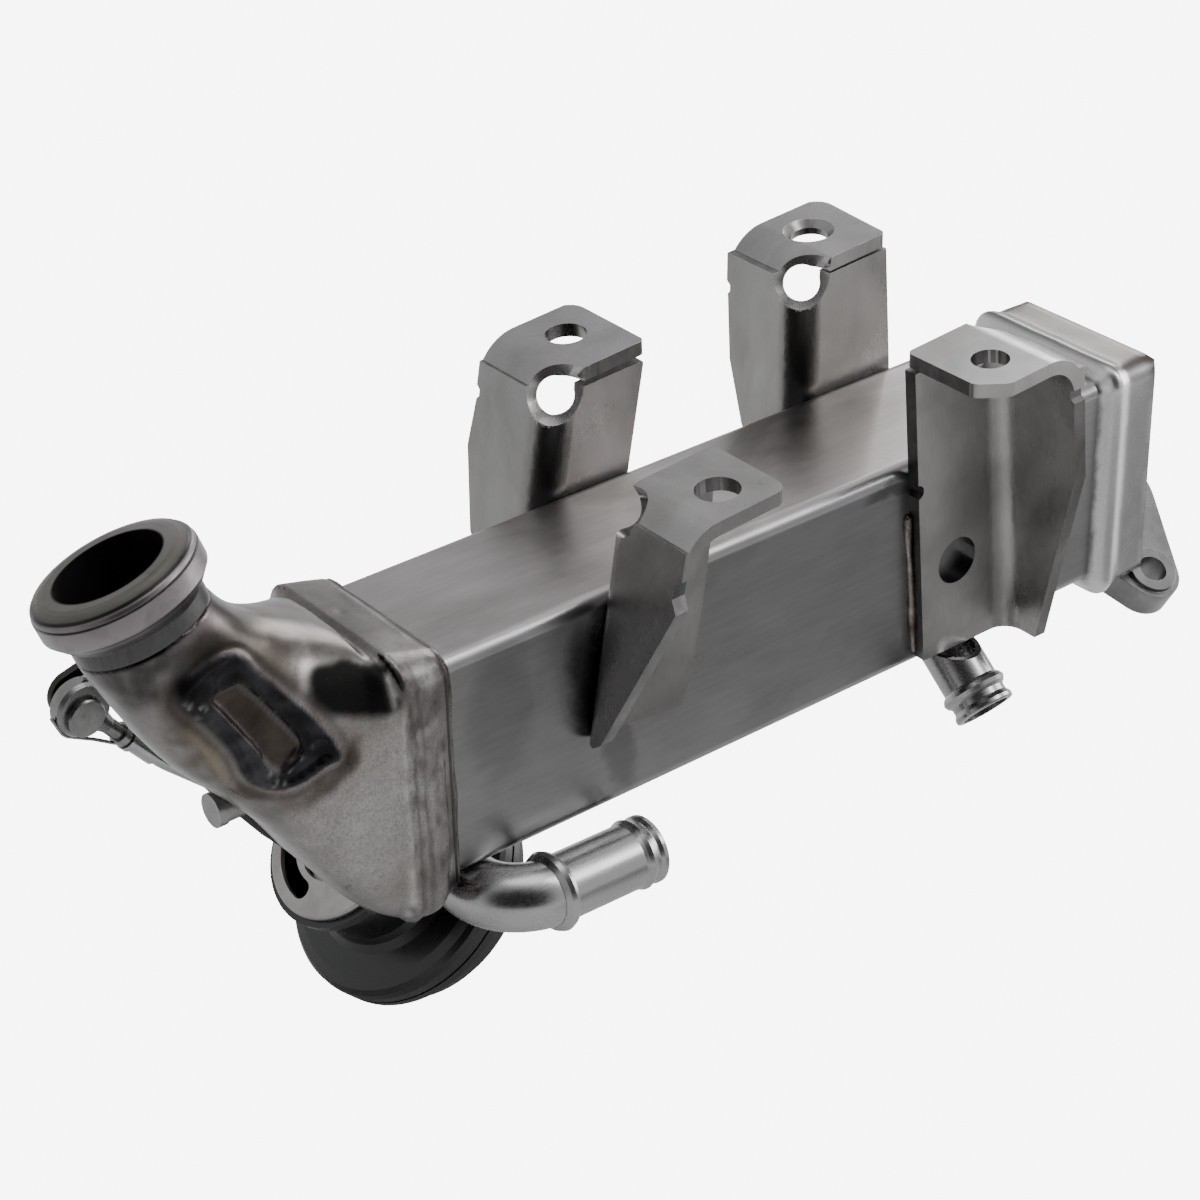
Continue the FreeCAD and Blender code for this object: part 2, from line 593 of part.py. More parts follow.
nip = turned([(2.0, -43.8), (3.4, -43.8), (3.4, -43.0), (0.9, -43.0), (0.9, -60.5), (2.4, -60.5),
              (3.1, -58.0), (2.6, -57.6), (2.6, -47.0), (4.4, -46.4), (4.4, -45.2), (2.0, -45.2)],
             ACT_C, ACT_N)
put("vacuum_nipple", nip)

# sheet bracket: a plate on the end plate, bent flat against the shell's floor
A0 = V(ACT_C[0], 0, ACT_C[2])
E1 = V(0.70710678, 0, 0.70710678)
NV = V(ACT_N[0], 0, ACT_N[2])
p1 = A0 + E1 * (-9.5)
p6 = p1 + NV * 2.5
prof = [(p1.x, p1.z), (-27.6, -2.5), (-8.0, -2.5), (-8.0, 0.0), (-28.64, 0.0), (p6.x, p6.z)]
full = slab_y(prof, [0, 5.0, 0, 0, 7.5, 0], 32.0, 93.0)
keep = slab_z([(-70, 32), (-33.5, 32), (-8, 32), (-8, 48), (-26, 48), (-33, 58),
               (-33, 86), (-40, 93), (-70, 93)], [0, 0, 3, 3, 6, 6, 6, 6, 0], -60, 20)
brk = full.common(keep)
brk = brk.cut(placed(Part.makeCylinder(13.0, 10, V(0, 0, -2), V(0, 0, 1))))
for (a, b) in STUDS:
    brk = brk.cut(placed(Part.makeCylinder(2.6, 8, V(a, b, -2), V(0, 0, 1))))
for k in nuts:
    brk = brk.cut(placed(k))
put("actuator_bracket", keep_big(brk))

# ---------------------------------------------------------------- coolant pipes
FRONT_PTS = [(-38.2, 15.5, SHELL_T), (-38.2, 15.5, -9.8), (-38.2, -10.5, -8.0), (8.3, -9.0, -10.6)]


def bead(c, d, r0, r1, w):
    """Rolled bead: a ring with a rounded crown, centred at c."""
    h = w / 2.0
    return turned([(r0 - 1.0, -h), (r0, -h), (r1 - 0.5, -h * 0.55), (r1, 0.0),
                   (r1 - 0.5, h * 0.55), (r0, h), (r0 - 1.0, h)], c, d)


o = pipe(FRONT_PTS, [9.4, 14.6], PIPE_R)
i = pipe(FRONT_PTS, [9.4, 14.6], PIPE_R - PIPE_T, 2.0)
dF = unit((46.5, 1.5, -2.6))
endF = v3(FRONT_PTS[-1])
b1 = bead(along(endF, dF, -32.5), dF, PIPE_R, 11.0, 4.4)
b2 = bead(along(endF, dF, -5.2), dF, PIPE_R, 9.8, 4.4)
lip = turned([(7.6, -2.6), (9.0, -2.6), (9.5, -1.4), (9.5, -0.3), (9.2, 0.0), (7.9, 0.0)],
             endF, dF)
pf = o.fuse([b1, b2, lip]).cut(i)
put("coolant_pipe_front", keep_big(pf.removeSplitter()))
shell = shell.cut(cyl((-38.2, 15.5, -2.0), (0, 0, 1), PIPE_R, 3.6))

REAR_D = unit((0.0, -1.0, -0.85))
R2 = 8.2
rb0 = (127.0, 9.0, 7.0)
REAR_L = 32.0
stub = cyl(rb0, (0, REAR_D.y, REAR_D.z), R2, REAR_L)
hole = cyl(along(rb0, REAR_D, -5), (0, REAR_D.y, REAR_D.z), R2 - PIPE_T, 60.0)
end2 = along(rb0, REAR_D, REAR_L)
b3 = bead(along(end2, REAR_D, -6.6), REAR_D, R2, 9.7, 4.2)
lip2 = turned([(6.9, -2.8), (8.2, -2.8), (9.0, -1.4), (9.0, -0.4), (8.6, 0.0), (7.1, 0.0)],
              end2, REAR_D)
pr = stub.fuse([b3, lip2])
pr = pr.cut(hole)
keepz = Part.makeBox(60, 120, 80, V(97, -60, -80.0 + SHELL_T))
pr = keep_big(pr.common(keepz).removeSplitter())
put("coolant_pipe_rear", pr)
shell = shell.cut(stub.common(keepz))
put("cooler_shell", shell)

# ---------------------------------------------------------------- outlet header
# A pressed box: a collar over the shell, then sides that slope in to the
# spout on its underside.
def header_body(t):
    x1 = 228.0 - t
    b = box_yz(185.7 if t == 0 else 192.7, x1, -3.0 + t, 53.0 - t, -4.0 + t, 68.0 - t,
               6.0 if t == 0 else 4.0)
    cutters = []
    k = 0.0 if t == 0 else t
    # plan slope at the front, away from the collar
    y_a = -3.0 + k * 1.64
    cutters.append(slab_z([(202.6, y_a), (235, y_a + 1.30 * 32.4), (235, -60), (202.6, -60)],
                          0.0, -60, 90))
    # top slope
    z_a = 68.0 - k * 1.41
    cutters.append(slab_y([(203.0, z_a), (235, z_a - 32.0), (235, 120), (203.0, 120)], 0.0,
                          -60, 90))
    # bottom slope, parallel to the flange
    cutters.append(slab_x([(-60, -4.0 + 0.5774 * (-57) + k * 1.155),
                           (90, -4.0 + 0.5774 * 93 + k * 1.155), (90, -90), (-60, -90)],
                          0.0, 197.5 if t == 0 else 197.5 + t, 240.0))
    for c in cutters:
        b = b.cut(c)
    return b


hdr = header_body(0.0)
hdr = soften(hdr, 4.0, lambda e: e.CenterOfMass.x > 202.0 and e.Length > 3.0
             and e.CenterOfMass.x < 227.5)
hin = header_body(2.5)
FN = unit(OUT_N)
WD = V(0, 0.8660254, 0.5)
F0 = v3(OUT_EAR) + WD * (OUT_PITCH / 2)
sp_ro, sp_ri = 14.5, 12.0
hdr = hdr.cut(hin).cut(box_yz(180.0, 192.7, 0, SHELL_W, 0, SHELL_H, SHELL_R))
hdr = hdr.cut(cyl(along(F0, FN, -14.0), (0, FN.y, FN.z), sp_ro, 30))
hdr = keep_big(hdr)
put("outlet_header", hdr)

# two-bolt flange with its short spout, one piece
Rb, Re = 22.5, 9.4
al = asin((Rb - Re) / (OUT_PITCH / 2))


def fmap(a, b):
    """Flange plane: a along X, b along the bolt line, zero at the centre."""
    return F0 + V(1, 0, 0) * a + WD * b


def fl_slab(pts, rad, t0, t1):
    w = rounded_wire(pts, rad, lambda a, b: fmap(a, b) + FN * t0)
    return Part.Face(w).extrude(FN * (t1 - t0))


h2 = OUT_PITCH / 2
web = fl_slab([(Rb * cos(al), Rb * sin(al)), (Re * cos(al), h2 + Re * sin(al)),
               (-Re * cos(al), h2 + Re * sin(al)), (-Rb * cos(al), Rb * sin(al)),
               (-Rb * cos(al), -Rb * sin(al)), (-Re * cos(al), -h2 - Re * sin(al)),
               (Re * cos(al), -h2 - Re * sin(al)), (Rb * cos(al), -Rb * sin(al))],
              0.0, 0.0, OUT_T)
Fp = lambda b, t: tuple(fmap(0, b) + FN * t)
ofl = fuse(web, cyl(Fp(0, 0), FN, Rb, OUT_T), cyl(Fp(h2, 0), FN, Re, OUT_T),
           cyl(Fp(-h2, 0), FN, Re, OUT_T))
ofl = ofl.fuse([cyl(Fp(h2, -1.4), FN, 7.6, 2.0), cyl(Fp(-h2, -1.4), FN, 7.6, 2.0),
                cyl(Fp(0, -8.0), FN, sp_ro, 9.0)]).removeSplitter()
ofl = cut(ofl, cyl(Fp(0, -12), FN, sp_ri, 30), cyl(Fp(h2, -5), FN, 4.27, 20),
          cyl(Fp(-h2, -5), FN, 4.27, 20))
ofl = ofl.cut(Part.makeBox(30, 160, 120, V(197.8 - 30, -60, -60)))
put("outlet_flange", keep_big(ofl.removeSplitter()))


# ---------------------------------------------------------------- brackets
def bracket(side, xa, za, lean, z_bot, ftop, fx0, y_far, b_out, a_out, f_out, f_rad,
            hole, r_fold, r_top, relief, extra, arm=1):
    """One twice-bent sheet bracket.
    side: +1 stands behind the shell, -1 in front of it. arm: +1 if the upright
    arm is at the left end, -1 at the right end. xa, za, lean: a point of the
    arm's outer face and its lean. ftop, fx0: height of the top's upper face at
    fx0. b_out, a_out, f_out: outlines of the back plate (X, Z), the arm (Y, Z)
    and the top (X, Y)."""
    T = SHEET
    tl = tan(radians(lean))
    tf = tan(radians(FLANGE_TILT))
    y0 = SHELL_W if side > 0 else 0.0        # face against the shell
    xo = lambda z: xa + (z - za) * tl
    zt = lambda x: ftop + (x - fx0) * tf
    h = T / cos(radians(lean)) * arm
    # arm and top, drawn in X-Z and run along Y
    zc = (ftop + (xa - za * tl - fx0) * tf) / (1 - tl * tf)
    xc = xo(zc)
    far = xc + 80.0 * arm
    tv = T / cos(radians(FLANGE_TILT))
    zi = (ftop - tv + (xa + h - za * tl - fx0) * tf) / (1 - tl * tf)
    xi = xo(zi) + h
    prof = [(xo(z_bot), z_bot), (xc, zc), (far, zt(far)), (far, zt(far) - tv), (xi, zi),
            (xo(z_bot) + h, z_bot)]
    ys = sorted((y0, y_far))
    af = slab_y(prof, [0, r_top, 0, 0, r_top - T, 0], ys[0], ys[1])
    af = af.common(slab_x(a_out, 0.0, min(xo(z_bot), xc, far) - 5, max(xo(z_bot), xc, far) + 9))
    af = af.common(slab_z(f_out, f_rad, z_bot - 5, 130))
    # back plate and arm, drawn in X-Y and run up along the lean
    lv = (tl * (ftop - z_bot), 0, ftop - z_bot)
    xb = xo(z_bot)
    yb = y0 + side * T
    elbow_pts = [(xb, y0), (xb + 75 * arm, y0), (xb + 75 * arm, yb), (xb + h, yb),
                 (xb + h, y_far), (xb, y_far)]
    ba = slab(elbow_pts, [r_fold, 0, 0, r_fold - T, 0, 0], lambda a, b: V(a, b, z_bot), lv)
    ba = ba.common(slab_y(b_out, 0.0, ys[0] - 1, ys[1] + 1)).common(
        slab_x(a_out, 0.0, xb - 110, xb + 110))
    corner = slab([(xb, y0), (xb + 110 * arm, y0), (xb + 110 * arm, y_far + side * 20),
                   (xb, y_far + side * 20)],
                  [r_fold, 0, 0, 0], lambda a, b: V(a, b, z_bot),
                  (tl * 130, 0, 130))
    s = af.common(corner).fuse(ba).removeSplitter()
    for c, d, r, L, rb in relief:
        s = s.cut(cyl(along(c, unit(d), -L), unit(d), r, 2 * L))
        if rb:
            dd = unit(d)
            s = s.cut(Part.makeCone(rb + 2.0, r, rb + 2.0 - r, v3(along(c, dd, -2.0)), dd))
    hx, hy, hr, csk = hole
    nrm = V(-sin(radians(FLANGE_TILT)), 0, cos(radians(FLANGE_TILT)))
    base = V(hx, hy, zt(hx))
    s = s.cut(Part.makeCylinder(hr, 20, base - nrm * 10, nrm))
    if csk:
        s = s.cut(Part.makeCone(hr, csk + (csk - hr), 4.0, base - nrm * 2.0, nrm))
    for t in extra:
        s = s.cut(t)
    s = keep_big(s)
    return s


Y = SHELL_W
b1 = bracket(+1, 21.0, 66.0, 10.6, 22.0, 99.3, 36.5, 84.0,
             [(5, 22), (44.5, 22), (47.5, 45), (51.4, 65), (57.3, 94.2), (57, 94.9), (34, 93.6),
              (24, 93.0), (5, 93)],
             [(Y, 22), (60, 22), (77.9, 45.6), (83.2, 68.7), (81.6, 82.6), (80.6, 83.6),
              (80.6, 85.4), (82.0, 86.4), (82, 120), (Y, 120)],
             [(5, Y), (58.0, Y), (58.2, 82), (5, 90)], [0, 2.0, 6.0, 0],
             (45.5, 68.6, 5.75, 0), 9.0, 14.0,
             [((28.2, 52.6, 93.6), (0.62, 0.62, -0.48), 4.5, 12.0, 6.9)], [])
b2 = bracket(+1, 112.1, 66.0, 1.5, 12.0, 105.0, 124.6, 82.0,
             [(90, 12), (149, 12), (148.0, 65.3), (145.8, 101.6), (124, 100.2), (110, 99.5),
              (90, 99)],
             [(Y, 12), (57.5, 12), (60, 20), (73.3, 48.8), (79.0, 67.2), (80.3, 87.2),
              (79.4, 88.2), (79.4, 90.0), (80.8, 91.2), (80.8, 125), (Y, 125)],
             [(90, Y), (145.4, Y), (147.6, 80.8), (90, 86)], [0, 2.0, 6.0, 0],
             (131.9, 67.3, 5.3, 7.35), 9.0, 14.0,
             [((115.6, 52.6, 99.8), (0.62, 0.62, -0.48), 4.5, 12.0, 6.9)], [])
b3 = bracket(-1, -4.8, 27.0, 10.2, 24.5, 93.7, 17.0, -29.8,
             [(-20, 26.5), (6.5, 26.9), (24.9, 24.8), (28.2, 32.6), (30.1, 42.8), (32.3, 52.7),
              (35.0, 69.5), (36.5, 89.8), (10, 88.4), (-20, 88)],
             [(0, 24), (-4.0, 24), (-7.4, 26.5), (-28.6, 71.8), (-26.4, 75.2), (-26.6, 79.0),
              (-29.2, 80.8), (-29.8, 120), (0, 120)],
             [(-20, 0), (39.5, 0), (39.5, -29.8), (-20, -29.8)], [0, 2.0, 5.0, 0],
             (26.3, -17.4, 6.0, 0), 5.0, 12.0,
             [((8.4, -2.4, 89.1), (0.62, -0.50, -0.60), 6.6, 12.0, 0)], [])
h4 = cyl((124.5, -8, 31.5), (0, 1, 0), 7.0, 20)
n4 = cyl((108.6, -8, 58.2), (0, 1, 0), 2.2, 20)
b4 = bracket(-1, 149.4, 3.0, -5.2, 3.2, 100.1, 108.0, -32.0,
             [(112.9, 3.2), (170, 3.2), (170, 97), (130, 96.6), (106.2, 94.9)],
             [(0, 3), (-15.4, 3.2), (-32.0, 62.7), (-32.0, 86.4), (-30.6, 87.4), (-30.6, 89.4),
              (-32.0, 90.4), (-32, 120), (0, 120)],
             [(106.5, 0), (180, 0), (180, -32), (113.4, -32), (106.5, -25.5)],
             [2.0, 0, 0, 4.0, 4.0],
             (118.9, -18.8, 5.2, 0), 10.0, 13.0,
             [((133.5, -2.6, 97.6), (-0.6, -0.5, -0.6), 4.6, 12.0, 6.4)], [h4, n4], arm=-1)
put("bracket_rear_left", b1)
put("bracket_rear_right", b2)
put("bracket_front_left", b3)
put("bracket_front_right", b4)

# ---------------------------------------------------------------- write
shift = V(-INLET_C[0], -INLET_C[1], -INLET_C[2])
for name, s in PARTS.items():
    s = s.copy()
    s.translate(shift)
    if len(s.Solids) == 1:
        s = s.Solids[0]
    print("%-22s valid %s solids %d vol %.0f" % (name, s.isValid(), len(s.Solids), s.Volume))
    s.exportStep("parts/%s.step" % name)
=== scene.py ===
import math

import bmesh
import bpy
import numpy as np
from mathutils import Matrix, Vector
from mathutils.bvhtree import BVHTree


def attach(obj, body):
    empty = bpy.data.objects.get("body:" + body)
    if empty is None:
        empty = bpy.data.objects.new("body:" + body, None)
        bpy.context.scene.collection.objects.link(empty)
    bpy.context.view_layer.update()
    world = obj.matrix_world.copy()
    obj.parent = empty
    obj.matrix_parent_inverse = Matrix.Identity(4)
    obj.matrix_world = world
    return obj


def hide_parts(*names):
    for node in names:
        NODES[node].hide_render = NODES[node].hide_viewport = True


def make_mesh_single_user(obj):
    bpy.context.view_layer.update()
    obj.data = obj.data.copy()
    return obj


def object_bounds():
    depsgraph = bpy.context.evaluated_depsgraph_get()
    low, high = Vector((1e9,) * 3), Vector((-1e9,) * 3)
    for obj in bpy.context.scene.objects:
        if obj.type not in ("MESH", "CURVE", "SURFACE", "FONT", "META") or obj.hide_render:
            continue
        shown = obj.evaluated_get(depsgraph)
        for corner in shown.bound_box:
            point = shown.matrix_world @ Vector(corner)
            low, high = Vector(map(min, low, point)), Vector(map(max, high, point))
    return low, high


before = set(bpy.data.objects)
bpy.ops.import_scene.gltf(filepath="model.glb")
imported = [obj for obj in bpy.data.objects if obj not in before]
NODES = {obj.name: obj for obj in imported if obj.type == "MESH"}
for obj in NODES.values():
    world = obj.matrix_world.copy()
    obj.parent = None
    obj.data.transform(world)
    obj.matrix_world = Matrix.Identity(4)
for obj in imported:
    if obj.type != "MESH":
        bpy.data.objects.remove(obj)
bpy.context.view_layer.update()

# Working millimetres: X along the cooler, Y to the back, Z up, zero at the
# front bottom edge of the shell. The frame's origin is the inlet's face.
O = np.array((-119.8, 27.5, 107.7))
N0 = np.array((-0.29, 0.215, 0.93))
N0 = N0 / np.linalg.norm(N0)


def W(x, y, z):
    return Vector(((x - O[0]) / 1000.0, (y - O[1]) / 1000.0, (z - O[2]) / 1000.0))


# ------------------------------------------------------------------ materials
def new_mat(name):
    m = bpy.data.materials.new(name)
    m.use_nodes = True
    nt = m.node_tree
    nt.nodes.clear()
    out = nt.nodes.new("ShaderNodeOutputMaterial")
    b = nt.nodes.new("ShaderNodeBsdfPrincipled")
    nt.links.new(b.outputs[0], out.inputs[0])
    return m, nt, b


class Net:
    """Small helper that strings texture nodes together."""

    def __init__(self, name):
        self.mat, self.nt, self.bsdf = new_mat(name)
        self.tc = self.nt.nodes.new("ShaderNodeTexCoord")
        self.obj = self.tc.outputs["Object"]

    def new(self, kind):
        return self.nt.nodes.new(kind)

    def link(self, a, b):
        self.nt.links.new(a, b)

    def put(self, sock, v):
        if isinstance(v, bpy.types.NodeSocket):
            self.link(v, sock)
        elif hasattr(v, "__len__") and len(v) == 3 and sock.type == "RGBA":
            sock.default_value = (*v, 1.0)
        else:
            sock.default_value = v

    def mapped(self, stretch=(1, 1, 1), loc=(0, 0, 0), rot=(0, 0, 0)):
        m = self.new("ShaderNodeMapping")
        self.link(self.obj, m.inputs["Vector"])
        m.inputs["Scale"].default_value = stretch
        m.inputs["Location"].default_value = loc
        m.inputs["Rotation"].default_value = rot
        return m.outputs[0]

    def noise(self, scale, stretch=(1, 1, 1), detail=3.0, rough=0.55, warp=0.0, loc=(0, 0, 0),
              rot=(0, 0, 0)):
        n = self.new("ShaderNodeTexNoise")
        self.link(self.mapped(stretch, loc, rot), n.inputs["Vector"])
        n.inputs["Scale"].default_value = scale
        n.inputs["Detail"].default_value = detail
        n.inputs["Roughness"].default_value = rough
        n.inputs["Distortion"].default_value = warp
        return n.outputs[0]

    def rng(self, v, a, b, c=0.0, d=1.0, smooth=False):
        n = self.new("ShaderNodeMapRange")
        if smooth:
            n.interpolation_type = "SMOOTHSTEP"
        self.put(n.inputs["Value"], v)
        n.inputs["From Min"].default_value = a
        n.inputs["From Max"].default_value = b
        n.inputs["To Min"].default_value = c
        n.inputs["To Max"].default_value = d
        return n.outputs[0]

    def math(self, op, a, b=0.0, clamp=False):
        n = self.new("ShaderNodeMath")
        n.operation = op
        n.use_clamp = clamp
        self.put(n.inputs[0], a)
        self.put(n.inputs[1], b)
        return n.outputs[0]

    def mix(self, f, a, b, blend="MIX"):
        n = self.new("ShaderNodeMix")
        n.data_type = "RGBA"
        n.blend_type = blend
        n.clamp_factor = True
        self.put(n.inputs[0], f)
        self.put(n.inputs[6], a)
        self.put(n.inputs[7], b)
        return n.outputs[2]

    def ramp(self, f, stops, mode="LINEAR"):
        n = self.new("ShaderNodeValToRGB")
        n.color_ramp.interpolation = mode
        e = n.color_ramp.elements
        e[0].position, e[0].color = stops[0][0], (*stops[0][1], 1)
        e[1].position, e[1].color = stops[-1][0], (*stops[-1][1], 1)
        for p, c in stops[1:-1]:
            k = e.new(p)
            k.color = (*c, 1)
        self.put(n.inputs[0], f)
        return n.outputs[0]

    def attr(self, name):
        n = self.new("ShaderNodeAttribute")
        n.attribute_name = name
        return n.outputs["Fac"]

    def bump(self, height, strength, dist, under=None):
        n = self.new("ShaderNodeBump")
        n.inputs["Strength"].default_value = strength
        n.inputs["Distance"].default_value = dist
        self.put(n.inputs["Height"], height)
        if under is not None:
            self.link(under, n.inputs["Normal"])
        return n.outputs[0]


def grey(v):
    return (v, v, v)


def metal(name, dark, light, rough=(0.26, 0.38), painted_dark_reflection_dir=None, cloud=28.0, cloud_stretch=(1, 1, 1), grain=1400.0,
          grain_stretch=(1, 1, 1), grain_amt=0.10, bump=0.10, bump_d=0.00003, wave=0.0,
          wave_scale=24.0, stain=None, stain_amt=0.0, stain_scale=18.0, specks=0.0, aniso=0.0,
          metallic=1.0):
    """Bare steel: soft clouds, fine grain, stains and small dark specks; given a direction, a painted dark
    reflection on the faces turned that way.
    """
    n = Net(name)
    c = n.noise(cloud, cloud_stretch, detail=4.0, rough=0.6, warp=0.6)
    cl = n.rng(c, 0.32, 0.68, 0.0, 1.0)
    col = n.mix(cl, dark, light)
    g = n.noise(grain, grain_stretch, detail=2.0, rough=0.5)
    gf = n.rng(g, 0.3, 0.7, 1.0 - grain_amt, 1.0 + grain_amt)
    col = n.mix(1.0, col, n.ramp(n.rng(gf, 0.8, 1.2, 0.0, 1.0), [(0.0, grey(0.8)), (1.0, grey(1.0))]),
                "MULTIPLY")
    if stain is not None:
        s = n.noise(stain_scale, (1, 1, 1), detail=3.0, rough=0.5, warp=0.4, loc=(3.1, 1.7, 0.4))
        col = n.mix(n.math("MULTIPLY", n.rng(s, 0.50, 0.68, 0.0, 1.0, True), stain_amt), col, stain)
    if specks > 0:
        v = n.new("ShaderNodeTexVoronoi")
        n.link(n.mapped(), v.inputs["Vector"])
        v.inputs["Scale"].default_value = 160.0
        d = n.rng(v.outputs["Distance"], 0.02, 0.075, 1.0, 0.0)
        col = n.mix(n.math("MULTIPLY", d, specks), col, grey(0.03))
    # painted reflection: faces turned towards the given direction darken to near black
    if painted_dark_reflection_dir is not None:
        geo = n.new("ShaderNodeNewGeometry")
        dp = n.new("ShaderNodeVectorMath")
        dp.operation = "DOT_PRODUCT"
        n.link(geo.outputs["Normal"], dp.inputs[0])
        dp.inputs[1].default_value = painted_dark_reflection_dir
        col = n.mix(n.rng(dp.outputs["Value"], 0.86, 0.985, 0.0, 0.85, True), col,
                    (0.030, 0.029, 0.028))
    n.put(n.bsdf.inputs["Base Color"], col)
    n.bsdf.inputs["Metallic"].default_value = metallic
    r = n.noise(cloud * 1.7, cloud_stretch, detail=4.0, rough=0.65, warp=0.8, loc=(0.7, 2.2, 5.0))
    r1 = n.rng(r, 0.3, 0.7, rough[0], rough[1])
    r2 = n.math("ADD", r1, n.rng(g, 0.3, 0.7, -0.03, 0.03))
    n.put(n.bsdf.inputs["Roughness"], r2)
    if aniso:
        n.bsdf.inputs["Anisotropic"].default_value = aniso
    nb = n.bump(g, bump, bump_d)
    if wave > 0:
        w = n.noise(wave_scale, (0.6, 1, 1), detail=2.0, rough=0.5, loc=(9.0, 4.0, 2.0))
        nb = n.bump(w, wave, 0.0012, nb)
    n.put(n.bsdf.inputs["Normal"], nb)
    return n.mat


M = {}
def shell_material():
    """Brushed sheet: a cloudy upper face with faint pink and straw bands, made paler
    than the darker sides by painted light, and soft painted dark reflections on the front."""
    n = Net("shell_steel")
    c = n.noise(16.0, (0.45, 1, 1), detail=5.0, rough=0.6, warp=0.6)
    side = n.mix(n.rng(c, 0.32, 0.68), (0.235, 0.230, 0.236), (0.325, 0.320, 0.322))
    geo = n.new("ShaderNodeNewGeometry")
    sx = n.new("ShaderNodeSeparateXYZ")
    n.link(geo.outputs["Normal"], sx.inputs[0])
    # painted light: faces turned up take the paler cloudy colours
    top_painted_shading = n.rng(sx.outputs["Z"], 0.75, 0.97, 0.0, 1.0, True)
    c2 = n.noise(24.0, (0.50, 1, 1), detail=4.0, rough=0.55, warp=0.8, loc=(6, 1, 2))
    tc = n.ramp(n.rng(c2, 0.28, 0.72), [(0.0, (0.210, 0.196, 0.190)), (0.35, (0.330, 0.310, 0.300)),
                                        (0.6, (0.400, 0.372, 0.370)), (1.0, (0.520, 0.495, 0.490))])
    col = n.mix(top_painted_shading, side, tc)
    px = n.new("ShaderNodeSeparateXYZ")
    n.link(n.obj, px.inputs[0])
    # painted shade: the painted light on the upper faces is toned down towards the left end
    col = n.mix(n.math("MULTIPLY", top_painted_shading, n.rng(px.outputs["X"], 0.085, 0.150, 0.45, 0.0, True)), col,
                (0.255, 0.243, 0.238))
    w = n.noise(70.0, detail=4.0, rough=0.6, warp=0.8, loc=(3, 3, 3))
    ww = n.math("MULTIPLY", n.math("SUBTRACT", w, 0.5), 0.010)

    def painted_reflection_oval(x, z, rx, rz, lean, amount, col0):
        """A soft oval painted dark reflection on the front face, X and Z in working mm."""
        dx = n.math("SUBTRACT", n.math("ADD", px.outputs["X"], ww), (x - O[0]) / 1000.0)
        dz = n.math("SUBTRACT", n.math("ADD", px.outputs["Z"], ww), (z - O[2]) / 1000.0)
        dx = n.math("ADD", dx, n.math("MULTIPLY", dz, lean))
        ex = n.math("POWER", n.math("ABSOLUTE", n.math("MULTIPLY", dx, 1000.0 / rx)), 2.0)
        ez = n.math("POWER", n.math("ABSOLUTE", n.math("MULTIPLY", dz, 1000.0 / rz)), 2.0)
        e = n.math("ADD", ex, ez)
        front = n.rng(sx.outputs["Y"], -0.9, -0.5, amount, 0.0)
        return n.mix(n.math("MULTIPLY", n.rng(e, 0.25, 1.9, 1.0, 0.0, True), front), col0,
                     (0.022, 0.022, 0.023))

    # painted reflections: dark ovals on the front face beside the front brackets and near the inlet rim
    col = painted_reflection_oval(-1.5, 43.0, 7.0, 15.0, 0.16, 0.80, col)
    col = painted_reflection_oval(6.0, 20.0, 5.0, 16.0, 0.30, 0.35, col)
    col = painted_reflection_oval(104.0, 60.5, 9.0, 2.6, 0.0, 0.55, col)
    col = painted_reflection_oval(-30.0, 45.0, 9.0, 22.0, 0.0, 0.22, col)
    g = n.noise(1300.0, (0.05, 1, 1), detail=2.0, rough=0.5)
    col = n.mix(1.0, col, n.ramp(n.rng(g, 0.3, 0.7), [(0.0, grey(0.90)), (1.0, grey(1.0))]),
                "MULTIPLY")
    s_ = n.noise(30.0, detail=3.0, rough=0.5, warp=0.4, loc=(3.1, 1.7, 0.4))
    col = n.mix(n.math("MULTIPLY", n.rng(s_, 0.52, 0.68, 0.0, 1.0, True), 0.25), col,
                (0.15, 0.142, 0.145))
    n.put(n.bsdf.inputs["Base Color"], col)
    n.bsdf.inputs["Metallic"].default_value = 1.0
    r = n.noise(27.0, (0.5, 1, 1), detail=4.0, rough=0.65, warp=0.8, loc=(0.7, 2.2, 5.0))
    n.put(n.bsdf.inputs["Roughness"], n.rng(r, 0.3, 0.7, 0.26, 0.36))
    nb = n.bump(g, 0.07, 0.00001)
    wv = n.noise(20.0, (0.6, 1, 1), detail=2.0, rough=0.5, loc=(9.0, 4.0, 2.0))
    n.put(n.bsdf.inputs["Normal"], n.bump(wv, 0.14, 0.0012, nb))
    return n.mat


M["shell"] = shell_material()


def bracket_steel(name, k, painted_dark_reflection_dir=None):
    return metal(name, (0.230 * k, 0.223 * k, 0.218 * k), (0.335 * k, 0.326 * k, 0.320 * k),
                 rough=(0.27, 0.37), painted_dark_reflection_dir=painted_dark_reflection_dir, cloud=30.0, cloud_stretch=(1, 1, 0.6), grain=1900.0,
                 grain_stretch=(1, 1, 0.10), grain_amt=0.08, bump=0.08, bump_d=0.00001, wave=0.04,
                 wave_scale=30.0, stain=(0.155 * k, 0.147 * k, 0.140 * k), stain_amt=0.45,
                 stain_scale=24.0, specks=0.0)


